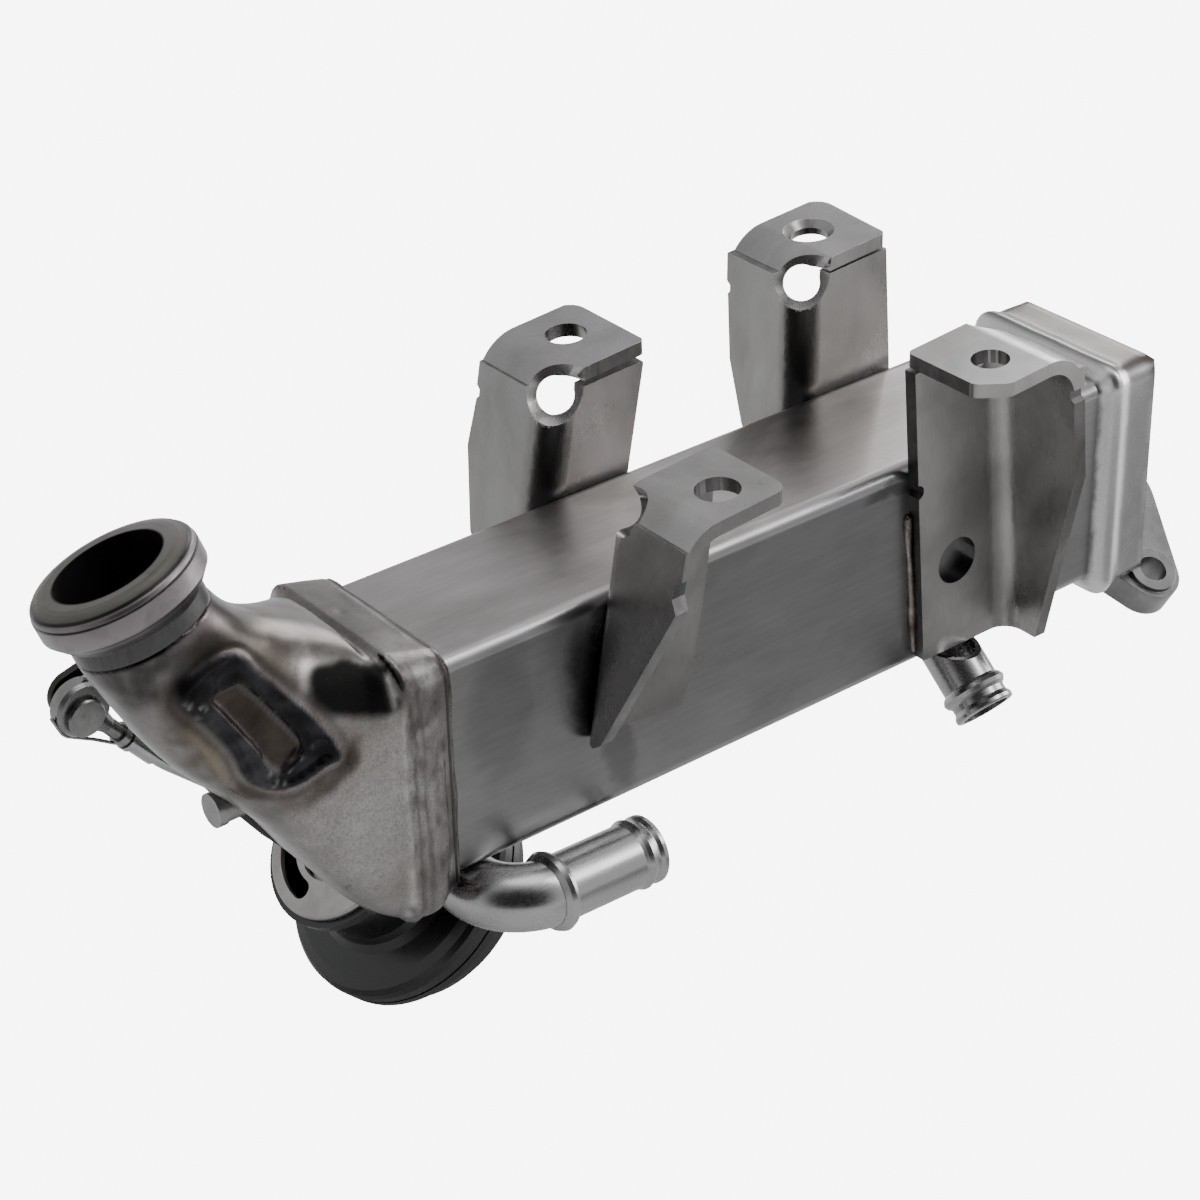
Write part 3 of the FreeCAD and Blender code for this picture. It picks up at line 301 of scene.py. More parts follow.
M["bracket"] = bracket_steel("bracket_steel", 1.08)
# the rear brackets' steel, with a painted dark reflection on faces turned towards -X and -Y
M["bracket_rear"] = bracket_steel("bracket_steel_rear_painted_reflection", 1.08, (-0.707, -0.707, 0.0))
# a lighter copy of the bracket steel: painted light for the front right bracket
M["bracket_light"] = bracket_steel("bracket_steel_painted_light", 1.42)
# the relief-hole bevels' steel: a brighter cut finish, lightened further as a painted highlight
M["bevel"] = metal("cut_steel_painted_highlight", (0.40, 0.39, 0.38), (0.50, 0.49, 0.48), rough=(0.26, 0.32),
                   cloud=90.0, grain=2600.0, grain_amt=0.03, bump=0.01, bump_d=0.00001)
M["sheared"] = metal("sheared_edge", (0.105, 0.101, 0.100), (0.200, 0.193, 0.190),
                     rough=(0.30, 0.42), cloud=120.0, cloud_stretch=(1, 1, 0.4), grain=1500.0,
                     grain_amt=0.10, bump=0.20, bump_d=0.00002)
def pressed_material():
    """Drawn sheet of the outlet header: satin, darker on its upper faces by painted shade, with
    a painted highlight round the rolled lip, browned near the far edge where it was welded."""
    n = Net("pressed_steel")
    c = n.noise(30.0, detail=5.0, rough=0.6, warp=0.9)
    col = n.mix(n.rng(c, 0.33, 0.68), (0.235, 0.229, 0.234), (0.335, 0.328, 0.328))
    geo = n.new("ShaderNodeNewGeometry")
    sx = n.new("ShaderNodeSeparateXYZ")
    n.link(geo.outputs["Normal"], sx.inputs[0])
    # painted shade: faces turned up take a darker colour
    top_painted_shading = n.rng(sx.outputs["Z"], 0.55, 0.95, 0.0, 1.0, True)
    col = n.mix(top_painted_shading, col, n.mix(n.rng(c, 0.35, 0.65), (0.076, 0.070, 0.065),
                                (0.128, 0.119, 0.112)))
    px = n.new("ShaderNodeSeparateXYZ")
    n.link(n.obj, px.inputs[0])
    w = n.noise(60.0, detail=4.0, rough=0.6, warp=0.8, loc=(2, 2, 2))
    xx = n.math("ADD", px.outputs["X"], n.math("MULTIPLY", n.math("SUBTRACT", w, 0.5), 0.004))
    # painted highlight: a near-white band round the rolled lip, fainter on its upper faces
    lip_painted_highlight = n.math("MULTIPLY", n.rng(xx, 0.3025, 0.3040, 0.0, 1.0, True),
                  n.rng(xx, 0.3095, 0.3125, 1.0, 0.0, True))
    col = n.mix(n.math("MULTIPLY", lip_painted_highlight, n.rng(top_painted_shading, 0.0, 1.0, 0.85, 0.15)), col,
                (0.74, 0.73, 0.735))
    far = n.math("MULTIPLY", n.rng(xx, 0.3185, 0.3225, 0.0, 1.0, True),
                 n.rng(px.outputs["Z"], -0.050, -0.043, 0.0, 1.0))
    col = n.mix(n.math("MULTIPLY", far, 0.8), col, (0.075, 0.058, 0.048))
    g = n.noise(1500.0, detail=2.0)
    col = n.mix(1.0, col, n.ramp(n.rng(g, 0.3, 0.7), [(0.0, grey(0.86)), (1.0, grey(1.0))]),
                "MULTIPLY")
    n.put(n.bsdf.inputs["Base Color"], col)
    n.bsdf.inputs["Metallic"].default_value = 1.0
    n.put(n.bsdf.inputs["Roughness"], n.rng(c, 0.3, 0.7, 0.26, 0.36))
    n.put(n.bsdf.inputs["Normal"], n.bump(g, 0.10, 0.00002))
    return n.mat


M["pressed"] = pressed_material()
M["flange_out"] = metal("outlet_flange_steel", (0.165, 0.162, 0.163), (0.26, 0.254, 0.254),
                        rough=(0.30, 0.42), cloud=60.0, grain=1500.0, grain_amt=0.10, bump=0.2,
                        bump_d=0.00003, stain=(0.22, 0.21, 0.2), stain_amt=0.25, specks=0.1)
M["pipe"] = metal("pipe_steel", (0.40, 0.395, 0.395), (0.47, 0.465, 0.46), rough=(0.25, 0.29),
                  cloud=40.0, cloud_stretch=(0.35, 1, 1), grain=1400.0, grain_stretch=(0.05, 1, 1),
                  grain_amt=0.03, bump=0.0, bump_d=0.00001, wave=0.0, wave_scale=40.0,
                  stain=(0.24, 0.24, 0.25), stain_amt=0.12, stain_scale=40.0)
M["core"] = metal("core_steel", (0.20, 0.195, 0.19), (0.30, 0.29, 0.28), rough=(0.3, 0.45),
                  stain=(0.12, 0.09, 0.07), stain_amt=0.5)
M["shaft"] = metal("bright_steel", (0.46, 0.46, 0.455), (0.56, 0.56, 0.555), rough=(0.24, 0.32),
                   cloud=90.0, grain=2600.0, grain_amt=0.06, bump=0.05, bump_d=0.00001)
M["socket"] = metal("socket_steel", (0.20, 0.20, 0.197), (0.30, 0.30, 0.292), rough=(0.26, 0.34),
                    cloud=110.0, grain=3000.0, grain_amt=0.06, bump=0.05, bump_d=0.00001)
M["lever"] = metal("lever_dark", (0.030, 0.029, 0.024), (0.060, 0.056, 0.045), rough=(0.30, 0.45),
                   cloud=90.0, grain=1800.0, grain_amt=0.16, bump=0.2, bump_d=0.00003,
                   stain=(0.10, 0.085, 0.06), stain_amt=0.4, stain_scale=60.0)
M["zinc"] = metal("zinc_steel", (0.26, 0.26, 0.26), (0.38, 0.38, 0.37), rough=(0.28, 0.4),
                  cloud=120.0, grain=2000.0)
M["weld"] = metal("weld_steel", (0.10, 0.085, 0.07), (0.34, 0.31, 0.29), rough=(0.22, 0.42),
                  cloud=190.0, grain=1600.0, grain_amt=0.16, bump=0.35, bump_d=0.00006,
                  stain=(0.09, 0.06, 0.045), stain_amt=0.7, stain_scale=90.0)
M["weld_dark"] = metal("weld_dark", (0.020, 0.022, 0.028), (0.075, 0.07, 0.075), rough=(0.25, 0.45),
                       cloud=190.0, grain=1600.0, grain_amt=0.16, bump=0.35, bump_d=0.00006)
M["plate"] = metal("end_plate", (0.36, 0.345, 0.33), (0.45, 0.435, 0.415), rough=(0.34, 0.46),
                   cloud=90.0, grain=2400.0, grain_amt=0.12, bump=0.2, bump_d=0.00002,
                   stain=(0.2, 0.19, 0.17), stain_amt=0.35, stain_scale=70.0, specks=0.2)


def paint(name, col, rough):
    """Satin black finish with dust, rubbed spots and a slight orange peel."""
    n = Net(name)
    c = n.noise(34.0, detail=5.0, rough=0.6, warp=0.8)
    dust = n.noise(520.0, detail=3.0, rough=0.7)
    a = n.mix(n.rng(c, 0.35, 0.7), col, tuple(v * 1.8 + 0.001 for v in col))
    a = n.mix(n.rng(dust, 0.64, 0.80, 0.0, 0.05), a, (0.14, 0.14, 0.14))
    n.put(n.bsdf.inputs["Base Color"], a)
    n.put(n.bsdf.inputs["Roughness"], n.rng(c, 0.3, 0.7, rough[0], rough[1]))
    n.bsdf.inputs["Metallic"].default_value = 0.0
    n.bsdf.inputs["Coat Weight"].default_value = 0.10
    n.bsdf.inputs["Coat Roughness"].default_value = 0.22
    nb = n.bump(n.noise(900.0, detail=2.0), 0.12, 0.00004)
    n.put(n.bsdf.inputs["Normal"], nb)
    return n.mat


M["black"] = paint("black_satin", (0.0030, 0.0030, 0.0033), (0.20, 0.32))
M["rubber"] = paint("black_rubber", (0.012, 0.012, 0.012), (0.5, 0.7))


def axis_value(n):
    """Height along the inlet's axis in millimetres, zero at its face."""
    v = n.new("ShaderNodeVectorMath")
    v.operation = "DOT_PRODUCT"
    n.link(n.obj, v.inputs[0])
    v.inputs[1].default_value = tuple(N0 * 1000.0)
    return v.outputs["Value"]


def flange_material():
    """Turned flange: dull olive face, dark groove, rubbed band, blued neck."""
    n = Net("inlet_flange_steel")
    h = axis_value(n)
    t = n.rng(h, -17.0, 0.5, 0.0, 1.0)

    def s(mm):
        return (mm + 17.0) / 17.5

    smear = n.noise(90.0, (1, 1, 1), detail=5.0, rough=0.65, warp=1.6)
    wob = n.math("MULTIPLY", n.math("SUBTRACT", smear, 0.5), 0.012)
    tt = n.math("ADD", t, wob)
    col = n.ramp(tt, [(0.0, (0.090, 0.087, 0.088)), (s(-10.6), (0.070, 0.068, 0.070)),
                      (s(-9.9), (0.17, 0.16, 0.16)), (s(-9.3), (0.16, 0.15, 0.15)),
                      (s(-8.9), (0.035, 0.033, 0.033)), (s(-8.5), (0.30, 0.278, 0.282)),
                      (s(-6.5), (0.27, 0.247, 0.252)), (s(-3.9), (0.235, 0.214, 0.220)),
                      (s(-2.2), (0.200, 0.184, 0.188)), (s(-1.75), (0.15, 0.14, 0.14)),
                      (s(-1.55), (0.016, 0.016, 0.015)), (s(-1.15), (0.020, 0.019, 0.018)),
                      (s(-0.95), (0.080, 0.076, 0.066)), (s(-0.5), (0.112, 0.105, 0.092)),
                      (1.0, (0.108, 0.103, 0.091))])
    # purplish and lighter towards the +X side of the face
    side = n.new("ShaderNodeVectorMath")
    side.operation = "DOT_PRODUCT"
    n.link(n.obj, side.inputs[0])
    side.inputs[1].default_value = (55.0, 20.0, 10.0)
    lit = n.rng(n.math("ADD", side.outputs["Value"], n.math("MULTIPLY", smear, 0.6)), 0.5, 1.3,
                0.0, 0.55, True)
    onface = n.rng(h, -1.3, -0.9, 0.0, 1.0)
    col = n.mix(n.math("MULTIPLY", lit, onface), col, (0.215, 0.19, 0.195))
    cl = n.noise(55.0, detail=5.0, rough=0.6, warp=1.0, loc=(2, 5, 1))
    col = n.mix(n.rng(cl, 0.48, 0.7, 0.0, 0.45), col, (0.050, 0.047, 0.046), "MIX")
    # brushed round the neck
    br = n.noise(1100.0, (1, 1, 0.06), detail=3.0, rough=0.6, rot=(0.23, 0.30, 0.0))
    col = n.mix(n.rng(h, -10.6, -9.8, 0.20, 0.0), col,
                n.mix(n.rng(br, 0.35, 0.65), (0.055, 0.053, 0.054), (0.13, 0.127, 0.13)))
    # the bore is sooty
    v = n.new("ShaderNodeVectorMath")
    v.operation = "CROSS_PRODUCT"
    n.link(n.obj, v.inputs[0])
    v.inputs[1].default_value = tuple(N0 * 1000.0)
    ln = n.new("ShaderNodeVectorMath")
    ln.operation = "LENGTH"
    n.link(v.outputs[0], ln.inputs[0])
    inner = n.rng(ln.outputs["Value"], 14.25, 14.8, 1.0, 0.0)
    col = n.mix(inner, col, (0.012, 0.011, 0.010))
    n.put(n.bsdf.inputs["Base Color"], col)
    n.bsdf.inputs["Metallic"].default_value = 0.9
    n.put(n.bsdf.inputs["Roughness"], n.math("ADD", n.rng(smear, 0.3, 0.7, 0.28, 0.42),
                                             n.math("MULTIPLY", inner, 0.3)))
    fine = n.noise(1500.0, detail=2.0)
    n.put(n.bsdf.inputs["Normal"], n.bump(fine, 0.15, 0.00003))
    return n.mat


M["flange_in"] = flange_material()


def housing_material():
    """Cast elbow: grainy satin with heat colours, a dark weld round the window, soot
    at the window's left end and inside, and painted highlights, shade and a dark reflection.
    The colour under the grain is laid on the mesh's own points by build_housing()."""
    n = Net("housing_steel")
    va = n.new("ShaderNodeAttribute")
    va.attribute_name = "tone"
    col = va.outputs["Color"]
    c = n.noise(46.0, detail=6.0, rough=0.65, warp=1.3)
    col = n.mix(1.0, col, n.ramp(n.rng(c, 0.32, 0.68), [(0.0, (0.74, 0.72, 0.70)),
                                                       (1.0, (1.0, 1.0, 1.0))]), "MULTIPLY")
    # dark freckles that gather in cloudy places
    f = n.noise(260.0, detail=5.0, rough=0.7, warp=0.6, loc=(5, 2, 8))
    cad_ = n.math("MULTIPLY", n.rng(f, 0.56, 0.70, 0.0, 0.5), n.rng(c, 0.45, 0.60, 0.15, 1.0))
    col = n.mix(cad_, col, (0.035, 0.030, 0.028))
    grain = n.attr("grain")
    g = n.noise(1500.0, detail=3.0, rough=0.65)
    gv = n.mix(grain, n.ramp(n.rng(g, 0.3, 0.7), [(0.0, grey(0.88)), (1.0, grey(1.0))]),
               n.ramp(n.rng(g, 0.3, 0.7), [(0.0, grey(0.60)), (1.0, grey(1.0))]))
    col = n.mix(1.0, col, gv, "MULTIPLY")
    n.put(n.bsdf.inputs["Base Color"], col)
    n.bsdf.inputs["Metallic"].default_value = 1.0
    r = n.rng(c, 0.3, 0.7, 0.25, 0.38)
    r = n.math("ADD", r, n.math("MULTIPLY", grain, 0.07))
    n.put(n.bsdf.inputs["Roughness"], n.math("ADD", r, n.math("MULTIPLY", n.attr("matt"), 0.30)))
    nb = n.bump(g, 0.35, 0.00004)
    nb = n.bump(n.noise(210.0, detail=3.0, rough=0.6, loc=(1, 3, 9)), 0.22, 0.00020, nb)
    n.put(n.bsdf.inputs["Normal"], nb)
    return n.mat


M["housing"] = housing_material()


# ------------------------------------------------------------------ mesh tools
def own_mesh(node, name):
    """A clean copy of a CAD piece's mesh with its split edges joined."""
    bm = bmesh.new()
    bm.from_mesh(NODES[node].data)
    bmesh.ops.remove_doubles(bm, verts=bm.verts, dist=2e-6)
    bmesh.ops.dissolve_degenerate(bm, edges=bm.edges, dist=1e-6)
    return bm


def finish_mesh(bm, name, smooth=True):
    me = bpy.data.meshes.new(name)
    bm.to_mesh(me)
    bm.free()
    for p in me.polygons:
        p.use_smooth = smooth
    ob = bpy.data.objects.new(name, me)
    bpy.context.scene.collection.objects.link(ob)
    return ob


def cut_by(bm, cutter_bm):
    """The mesh bm with the solid cutter_bm taken away."""
    ob = finish_mesh(bm, "work_solid", False)
    for _ in range(3):
        ob.data.materials.append(None)
    cu = finish_mesh(cutter_bm, "work_cutter", False)
    md = ob.modifiers.new("cut", "BOOLEAN")
    md.operation = "DIFFERENCE"
    md.solver = "EXACT"
    md.object = cu
    bpy.context.view_layer.update()
    me = bpy.data.meshes.new_from_object(ob.evaluated_get(bpy.context.evaluated_depsgraph_get()))
    out = bmesh.new()
    out.from_mesh(me)
    bpy.data.meshes.remove(me)
    bpy.data.objects.remove(ob)
    bpy.data.objects.remove(cu)
    return out


def cone_solid(c, d, prof, seg=64):
    """A turned solid along d from point c; prof: (distance, radius) in mm."""
    dd = np.array(d, float) / np.linalg.norm(d)
    e1 = np.cross(dd, (0.0, 0.0, 1.0))
    e1 = e1 / np.linalg.norm(e1)
    e2 = np.cross(dd, e1)
    bm = bmesh.new()
    rings = []
    for s0, r in prof:
        rings.append([bm.verts.new(tuple(W(*(np.array(c) + dd * s0 + r * (
            e1 * math.cos(2 * math.pi * k / seg) + e2 * math.sin(2 * math.pi * k / seg))))))
            for k in range(seg)])
    for a, b in zip(rings, rings[1:]):
        for j in range(seg):
            bm.faces.new((a[j], a[(j + 1) % seg], b[(j + 1) % seg], b[j]))
    bm.faces.new(rings[0][::-1])
    bm.faces.new(rings[-1])
    bmesh.ops.recalc_face_normals(bm, faces=bm.faces)
    return bm


def skin(node, body, mat, width=0.35, seg=2, angle=32.0, name=None, edge=None,
         cut=None, spare=None):
    """A copy of a CAD piece with softly broken edges, standing for it. spare
    (centre, direction, radius) keeps the edges round a hole as they are."""
    bm = own_mesh(node, node)
    bmesh.ops.dissolve_limit(bm, angle_limit=math.radians(0.4), use_dissolve_boundaries=False,
                             verts=bm.verts, edges=bm.edges, delimit={"NORMAL"})
    bm.normal_update()
    sharp = []
    for e in bm.edges:
        if len(e.link_faces) == 2 and e.calc_face_angle(0.0) > math.radians(angle):
            if spare is not None:
                m = (np.array(e.verts[0].co) + np.array(e.verts[1].co)) * 500.0 + O
                q = m - np.array(spare[0])
                dd = np.array(spare[1]) / np.linalg.norm(spare[1])
                if np.linalg.norm(q - dd * (q @ dd)) < spare[2] and abs(q @ dd) < 9.0:
                    continue
            sharp.append(e)
    if width > 0 and sharp:
        bmesh.ops.bevel(bm, geom=sharp, offset=width / 1000.0, offset_type="OFFSET",
                        segments=seg, profile=0.5, affect="EDGES", clamp_overlap=True,
                        miter_outer="ARC", material=1 if edge else -1)
    if cut is not None:
        bm = cut_by(bm, cut)
    if spare is not None:
        bmesh.ops.remove_doubles(bm, verts=bm.verts, dist=5e-6)
        bm.normal_update()
        for e in bm.edges:
            if len(e.link_faces) == 2 and e.calc_face_angle(0.0) > math.radians(24.0):
                m = (np.array(e.verts[0].co) + np.array(e.verts[1].co)) * 500.0 + O
                q = m - np.array(spare[0])
                dd = np.array(spare[1]) / np.linalg.norm(spare[1])
                if np.linalg.norm(q - dd * (q @ dd)) < spare[2] and abs(q @ dd) < 9.0:
                    e.smooth = False
    ob = finish_mesh(bm, name or node + "_skin")
    wn = ob.modifiers.new("normals", "WEIGHTED_NORMAL")
    wn.mode = "FACE_AREA"
    wn.weight = 60
    wn.keep_sharp = spare is not None
    ob.data.materials.append(mat)
    if edge:
        ob.data.materials.append(edge)
    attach(ob, body)
    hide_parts(node)
    return ob


def cut_edges(ob, index, thick=0.0115):
    """Marks the faces along the cut edges of a bent sheet: from those the way
    through the metal is long."""
    me = ob.data
    me.calc_loop_triangles()
    best = {}
    for t in me.loop_triangles:
        if t.area > best.get(t.polygon_index, (0.0, None))[0]:
            best[t.polygon_index] = (t.area, t)
    tree = BVHTree.FromPolygons([v.co for v in me.vertices],
                                [tuple(t.vertices) for t in me.loop_triangles])
    for pl in me.polygons:
        if pl.material_index != 0 or pl.index not in best:
            continue
        t = best[pl.index][1]
        c = (me.vertices[t.vertices[0]].co + me.vertices[t.vertices[1]].co
             + me.vertices[t.vertices[2]].co) / 3.0
        nn = pl.normal
        hit = tree.ray_cast(c - nn * 2e-5, -nn, 0.3)
        if hit[0] is None or hit[3] > thick:
            pl.material_index = index


def dress(node, mat):
    """Gives a CAD piece that keeps its own mesh its finish."""
    o = NODES[node]
    if not o.material_slots:
        o.data.materials.append(mat)
    for s in o.material_slots:
        s.material = mat


def seg_dist(px, pz, poly):
    """Unsigned distance to a closed polygon and whether a point is inside."""
    best = np.full(px.shape, 1e9)
    inside = np.zeros(px.shape, bool)
    n = len(poly)
    for i in range(n):
        ax, az = poly[i]
        bx, bz = poly[(i + 1) % n]
        dx, dz = bx - ax, bz - az
        t = np.clip(((px - ax) * dx + (pz - az) * dz) / (dx * dx + dz * dz), 0, 1)
        d = np.hypot(px - ax - t * dx, pz - az - t * dz)
        best = np.minimum(best, d)
        cross = ((az > pz) != (bz > pz)) & (px < (bx - ax) * (pz - az) / (bz - az + 1e-12) + ax)
        inside ^= cross
    return best, inside


def smooth_poly(pts, rounds=2):
    """Corner-cutting, so an outline has no kinks."""
    for _ in range(rounds):
        out = []
        for i in range(len(pts)):
            a, b = pts[i], pts[(i + 1) % len(pts)]
            out.append((a[0] * 0.75 + b[0] * 0.25, a[1] * 0.75 + b[1] * 0.25))
            out.append((a[0] * 0.25 + b[0] * 0.75, a[1] * 0.25 + b[1] * 0.75))
        pts = out
    return pts


def wave_noise(p, scale, seed, octaves=3):
    """Smooth repeatable noise from summed sines, about -1 to 1."""
    rng = np.random.RandomState(seed)
    out = np.zeros(len(p))
    amp, tot = 1.0, 0.0
    for o in range(octaves):
        for _ in range(5):
            k = rng.normal(size=3)
            k = k / np.linalg.norm(k) * (2 * math.pi / scale) * (2.0 ** o)
            out += amp * np.sin(p @ k + rng.uniform(0, 6.28))
            tot += amp * 0.75
        amp *= 0.5
    return out / tot * 1.6


def step(v, a, b):
    t = np.clip((v - a) / (b - a), 0, 1)
    return t * t * (3 - 2 * t)


# ------------------------------------------------------------------ inlet housing
# The window: a pressed plate let into the front wall with a broad weld round
# it. Outlines in X and Z where they cross Y = 3; they run inwards along SLANT.
OUTER = [(-120.5, 83.3), (-111, 89), (-107.1, 90), (-104.1, 89.8), (-101.2, 87.9), (-97.9, 82.5),
         (-93.7, 77.3), (-88.8, 71), (-83.4, 64.4), (-79.9, 58.9), (-76.7, 53.1), (-75.5, 49.4),
         (-76.1, 47.6), (-79.2, 48.1), (-82.9, 46.9), (-87.9, 45.8), (-93.1, 46.2), (-98.8, 48.9),
         (-103.2, 52.5), (-105.1, 56.9), (-105.8, 61.6), (-109.5, 67.9), (-114.4, 75),
         (-118.5, 79.1)]
INNER = [(-110.8, 79.3), (-103, 80.4), (-101.2, 79.3), (-95.7, 71.5), (-90.5, 63.8), (-87, 58),
         (-86.5, 55.7), (-91.2, 51.3), (-93.6, 51.2), (-96.2, 53.5), (-99.1, 61.1),
         (-102.4, 66.5), (-107, 74.3)]
SLANT = (0.767, -0.745)


def build_housing():
    bm = bmesh.new()
    for nd in ("inlet_housing", "window_cover"):
        tmp = NODES[nd].data.copy()
        bm.from_mesh(tmp)
        bpy.data.meshes.remove(tmp)
    bmesh.ops.remove_doubles(bm, verts=bm.verts, dist=2e-6)
    raw = finish_mesh(bm, "housing_raw")
    md = raw.modifiers.new("grid", "REMESH")
    md.mode = "VOXEL"
    md.voxel_size = 0.00082
    md.use_smooth_shade = True
    sm = raw.modifiers.new("smooth", "SMOOTH")
    sm.factor = 0.5
    sm.iterations = 5
    bpy.context.view_layer.update()
    dg = bpy.context.evaluated_depsgraph_get()
    me = bpy.data.meshes.new_from_object(raw.evaluated_get(dg))
    me.name = "inlet_housing_skin"
    bpy.data.objects.remove(raw)
    n = len(me.vertices)
    co = np.zeros(n * 3)
    me.vertices.foreach_get("co", co)
    co = co.reshape(-1, 3)
    no = np.zeros(n * 3)
    me.vertices.foreach_get("normal", no)
    no = no.reshape(-1, 3)
    p = co * 1000.0 + O
    x, y, z = p[:, 0], p[:, 1], p[:, 2]

    # which vertices belong to the outside skin: away from the flow's middle
    mid = np.array([(-113.5, 24.4, 88.0), (-108.3, 22.8, 81.0), (-101.4, 22.5, 72.1),
                    (-93.3, 23.0, 64.3), (-84.0, 23.8, 56.3), (-74.5, 24.7, 44.4),
                    (-64.0, 25.0, 32.5), (-46.0, 25.0, 32.5)])
    best = np.full(n, 1e9)
    near = np.zeros((n, 3))
    for i in range(len(mid) - 1):
        a, b = mid[i], mid[i + 1]
        d = b - a
        t = np.clip(((p - a) @ d) / (d @ d), 0, 1)
        q = a + t[:, None] * d
        dist = np.linalg.norm(p - q, axis=1)
        m = dist < best
        best[m] = dist[m]
        near[m] = q[m]
    out = ((p - near) * no).sum(1) > 0
    frontish = out & (y < 22.0) & (no[:, 1] < 0.35)

    u = x - SLANT[0] * (y - 3.0)
    v = z - SLANT[1] * (y - 3.0)
    wob = wave_noise(np.stack([u, v, y * 0], 1), 16.0, 5, 2)
    d_o, in_o = seg_dist(u, v, smooth_poly(OUTER))
    d_i, in_i = seg_dist(u, v, smooth_poly(INNER))
    s_o = np.where(in_o, -d_o, d_o)      # negative inside the outer line
    s_i = np.where(in_i, -d_i, d_i)      # negative inside the recess
    disp = np.zeros(n)
    w = frontish & (s_o < 14.0)
    # crown of the weld, then the fall into the recess
    lr = step((u + 96.0) * 0.62 - (v - 66.0) * 0.62, -8.0, 8.0)
    crown = np.exp(-((s_o + 1.3 + 0.25 * wob) / 0.95) ** 2) * (0.35 + 0.5 * lr)
    rip = 1.0 + 0.25 * np.sin(np.arctan2(v - 66.0, u + 97.0) * 46.0 + wob * 1.5)
    crown2 = np.exp(-((s_i - 1.6) / 1.3) ** 2) * 0.35
    recess = -1.6 * step(-s_i, -1.6, 1.2)
    trough = -0.55 * step(-s_o, 2.0, 3.4) * (1 - step(-s_i, -2.2, 0.0))
    near_edge = -0.25 * np.exp(-((s_o - 1.1) / 0.9) ** 2)
    disp += np.where(w, crown * rip + crown2 + recess + trough + near_edge, 0.0)

    # the wall's inner side follows the recess, so that it keeps its thickness
    inn = ~out & (y < 17.0) & (no[:, 1] > 0.15) & (s_i < 3.0)
    disp += np.where(inn, 1.7 * step(-s_i, -2.0, 1.2), 0.0)

    # the rim of the big end: vertical folds and weld laps on its outside
    onrim = out & (x > -66.5) & (x < -47.3)
    side = onrim & (no[:, 1] < -0.45)
    zz = (z - 32.0) / 40.0
    lap = wave_noise(np.stack([x * 0.4, y * 0.3, z], 1), 22.0, 11, 3)
    f1 = np.exp(-((x + 63.2 + 0.5 * lap) / 0.9) ** 2)
    f2 = np.exp(-((x + 57.6 + 0.7 * lap + 1.2 * zz) / 1.0) ** 2)
    f3 = np.exp(-((x + 52.6 + 0.6 * lap) / 0.9) ** 2)
    body_z = step(z, 2.0, 12.0) * (1 - step(z, 50.0, 60.0))
    f4 = np.exp(-((x + 60.2 + 0.9 * lap) / 0.7) ** 2)
    disp += np.where(side, (1.15 * f1 - 1.0 * f2 * (0.6 + 0.4 * lap) + 1.0 * f3 * (0.7 + 0.5 * lap)
                            - 0.7 * f4 * (0.5 + 0.5 * lap)) * body_z, 0.0)
    lump = wave_noise(np.stack([x * 1.4, y, z * 0.55], 1), 5.5, 44, 3)
    disp += np.where(side & (x > -62.0) & (x < -50.5), 0.28 * lump * body_z, 0.0)
    # small knocks and pocks where the blank was pressed
    rng = np.random.RandomState(4)
    pocks = []
    for _ in range(46):
        k = rng.uniform()
        if k < 0.45:
            c = (rng.uniform(-65, -49), rng.uniform(-6, -2), rng.uniform(46, 66))
        elif k < 0.8:
            c = (rng.uniform(-65, -49), rng.uniform(-6, -2), rng.uniform(-6, 12))
        else:
            c = (rng.uniform(-80, -49), rng.uniform(-4, 30), rng.uniform(62, 72))
        pocks.append((c, rng.uniform(0.8, 1.9), rng.uniform(0.12, 0.38)))
    for c, r, h in pocks:
        d = np.linalg.norm(p - np.array(c), axis=1)
        disp -= np.where(out, h * np.exp(-(d / r) ** 2), 0.0)
    # the seam against the shell: a thin welded lip
    lip = out & (x > -49.2)
    disp -= np.where(lip, 0.30 * np.exp(-((x + 48.3) / 0.5) ** 2), 0.0)
    # a cast skin is never quite even
    disp += np.where(out & ~(w & (s_o < 0)), 0.10 * wave_noise(p, 19.0, 3, 3), 0.0)
    disp += np.where(w & (s_o < 0.5), 0.10 * wave_noise(p, 6.0, 8, 2), 0.0)
    p2 = p + no * disp[:, None]
    boss = (np.hypot(x + 95.0, z - 53.0) < 10.0) & frontish
    p2[:, 1] = np.where(boss, np.minimum(p2[:, 1], 6.7), p2[:, 1])
    co2 = (p2 - O) / 1000.0
    me.vertices.foreach_set("co", co2.astype(np.float32).ravel())
    me.update()

    def attr(name, val):
        a = me.attributes.new(name, "FLOAT", "POINT")
        a.data.foreach_set("value", np.clip(val, 0, 1).astype(np.float32))

    # The finish is laid on in patches. On the front they are placed by where a
    # line from a point well ahead of the window meets the plane Y = 3.
    ahead = np.array((-399.5, -523.6, 454.5))
    ray = p - ahead
    kk = (3.0 - ahead[1]) / ray[:, 1]
    wa, wb, wc = (wave_noise(p, 15.0, 21, 4), wave_noise(p, 15.0, 22, 4),
                  wave_noise(p, 7.0, 23, 4))
    pu0 = ahead[0] + ray[:, 0] * kk
    pv0 = ahead[2] + ray[:, 2] * kk
    pu = pu0 + 1.7 * wa
    pv = pv0 + 1.7 * wb
    face = step(-(no * ray).sum(1) / np.linalg.norm(ray, axis=1), -0.10, 0.12) * out
    tone = np.tile(np.array((0.285, 0.272, 0.266)), (n, 1))
    grain = np.zeros(n)
    matt = np.zeros(n)

    def lay(colour, amount):
        tone[:] += (np.array(colour) - tone) * np.clip(amount, 0, 1)[:, None]

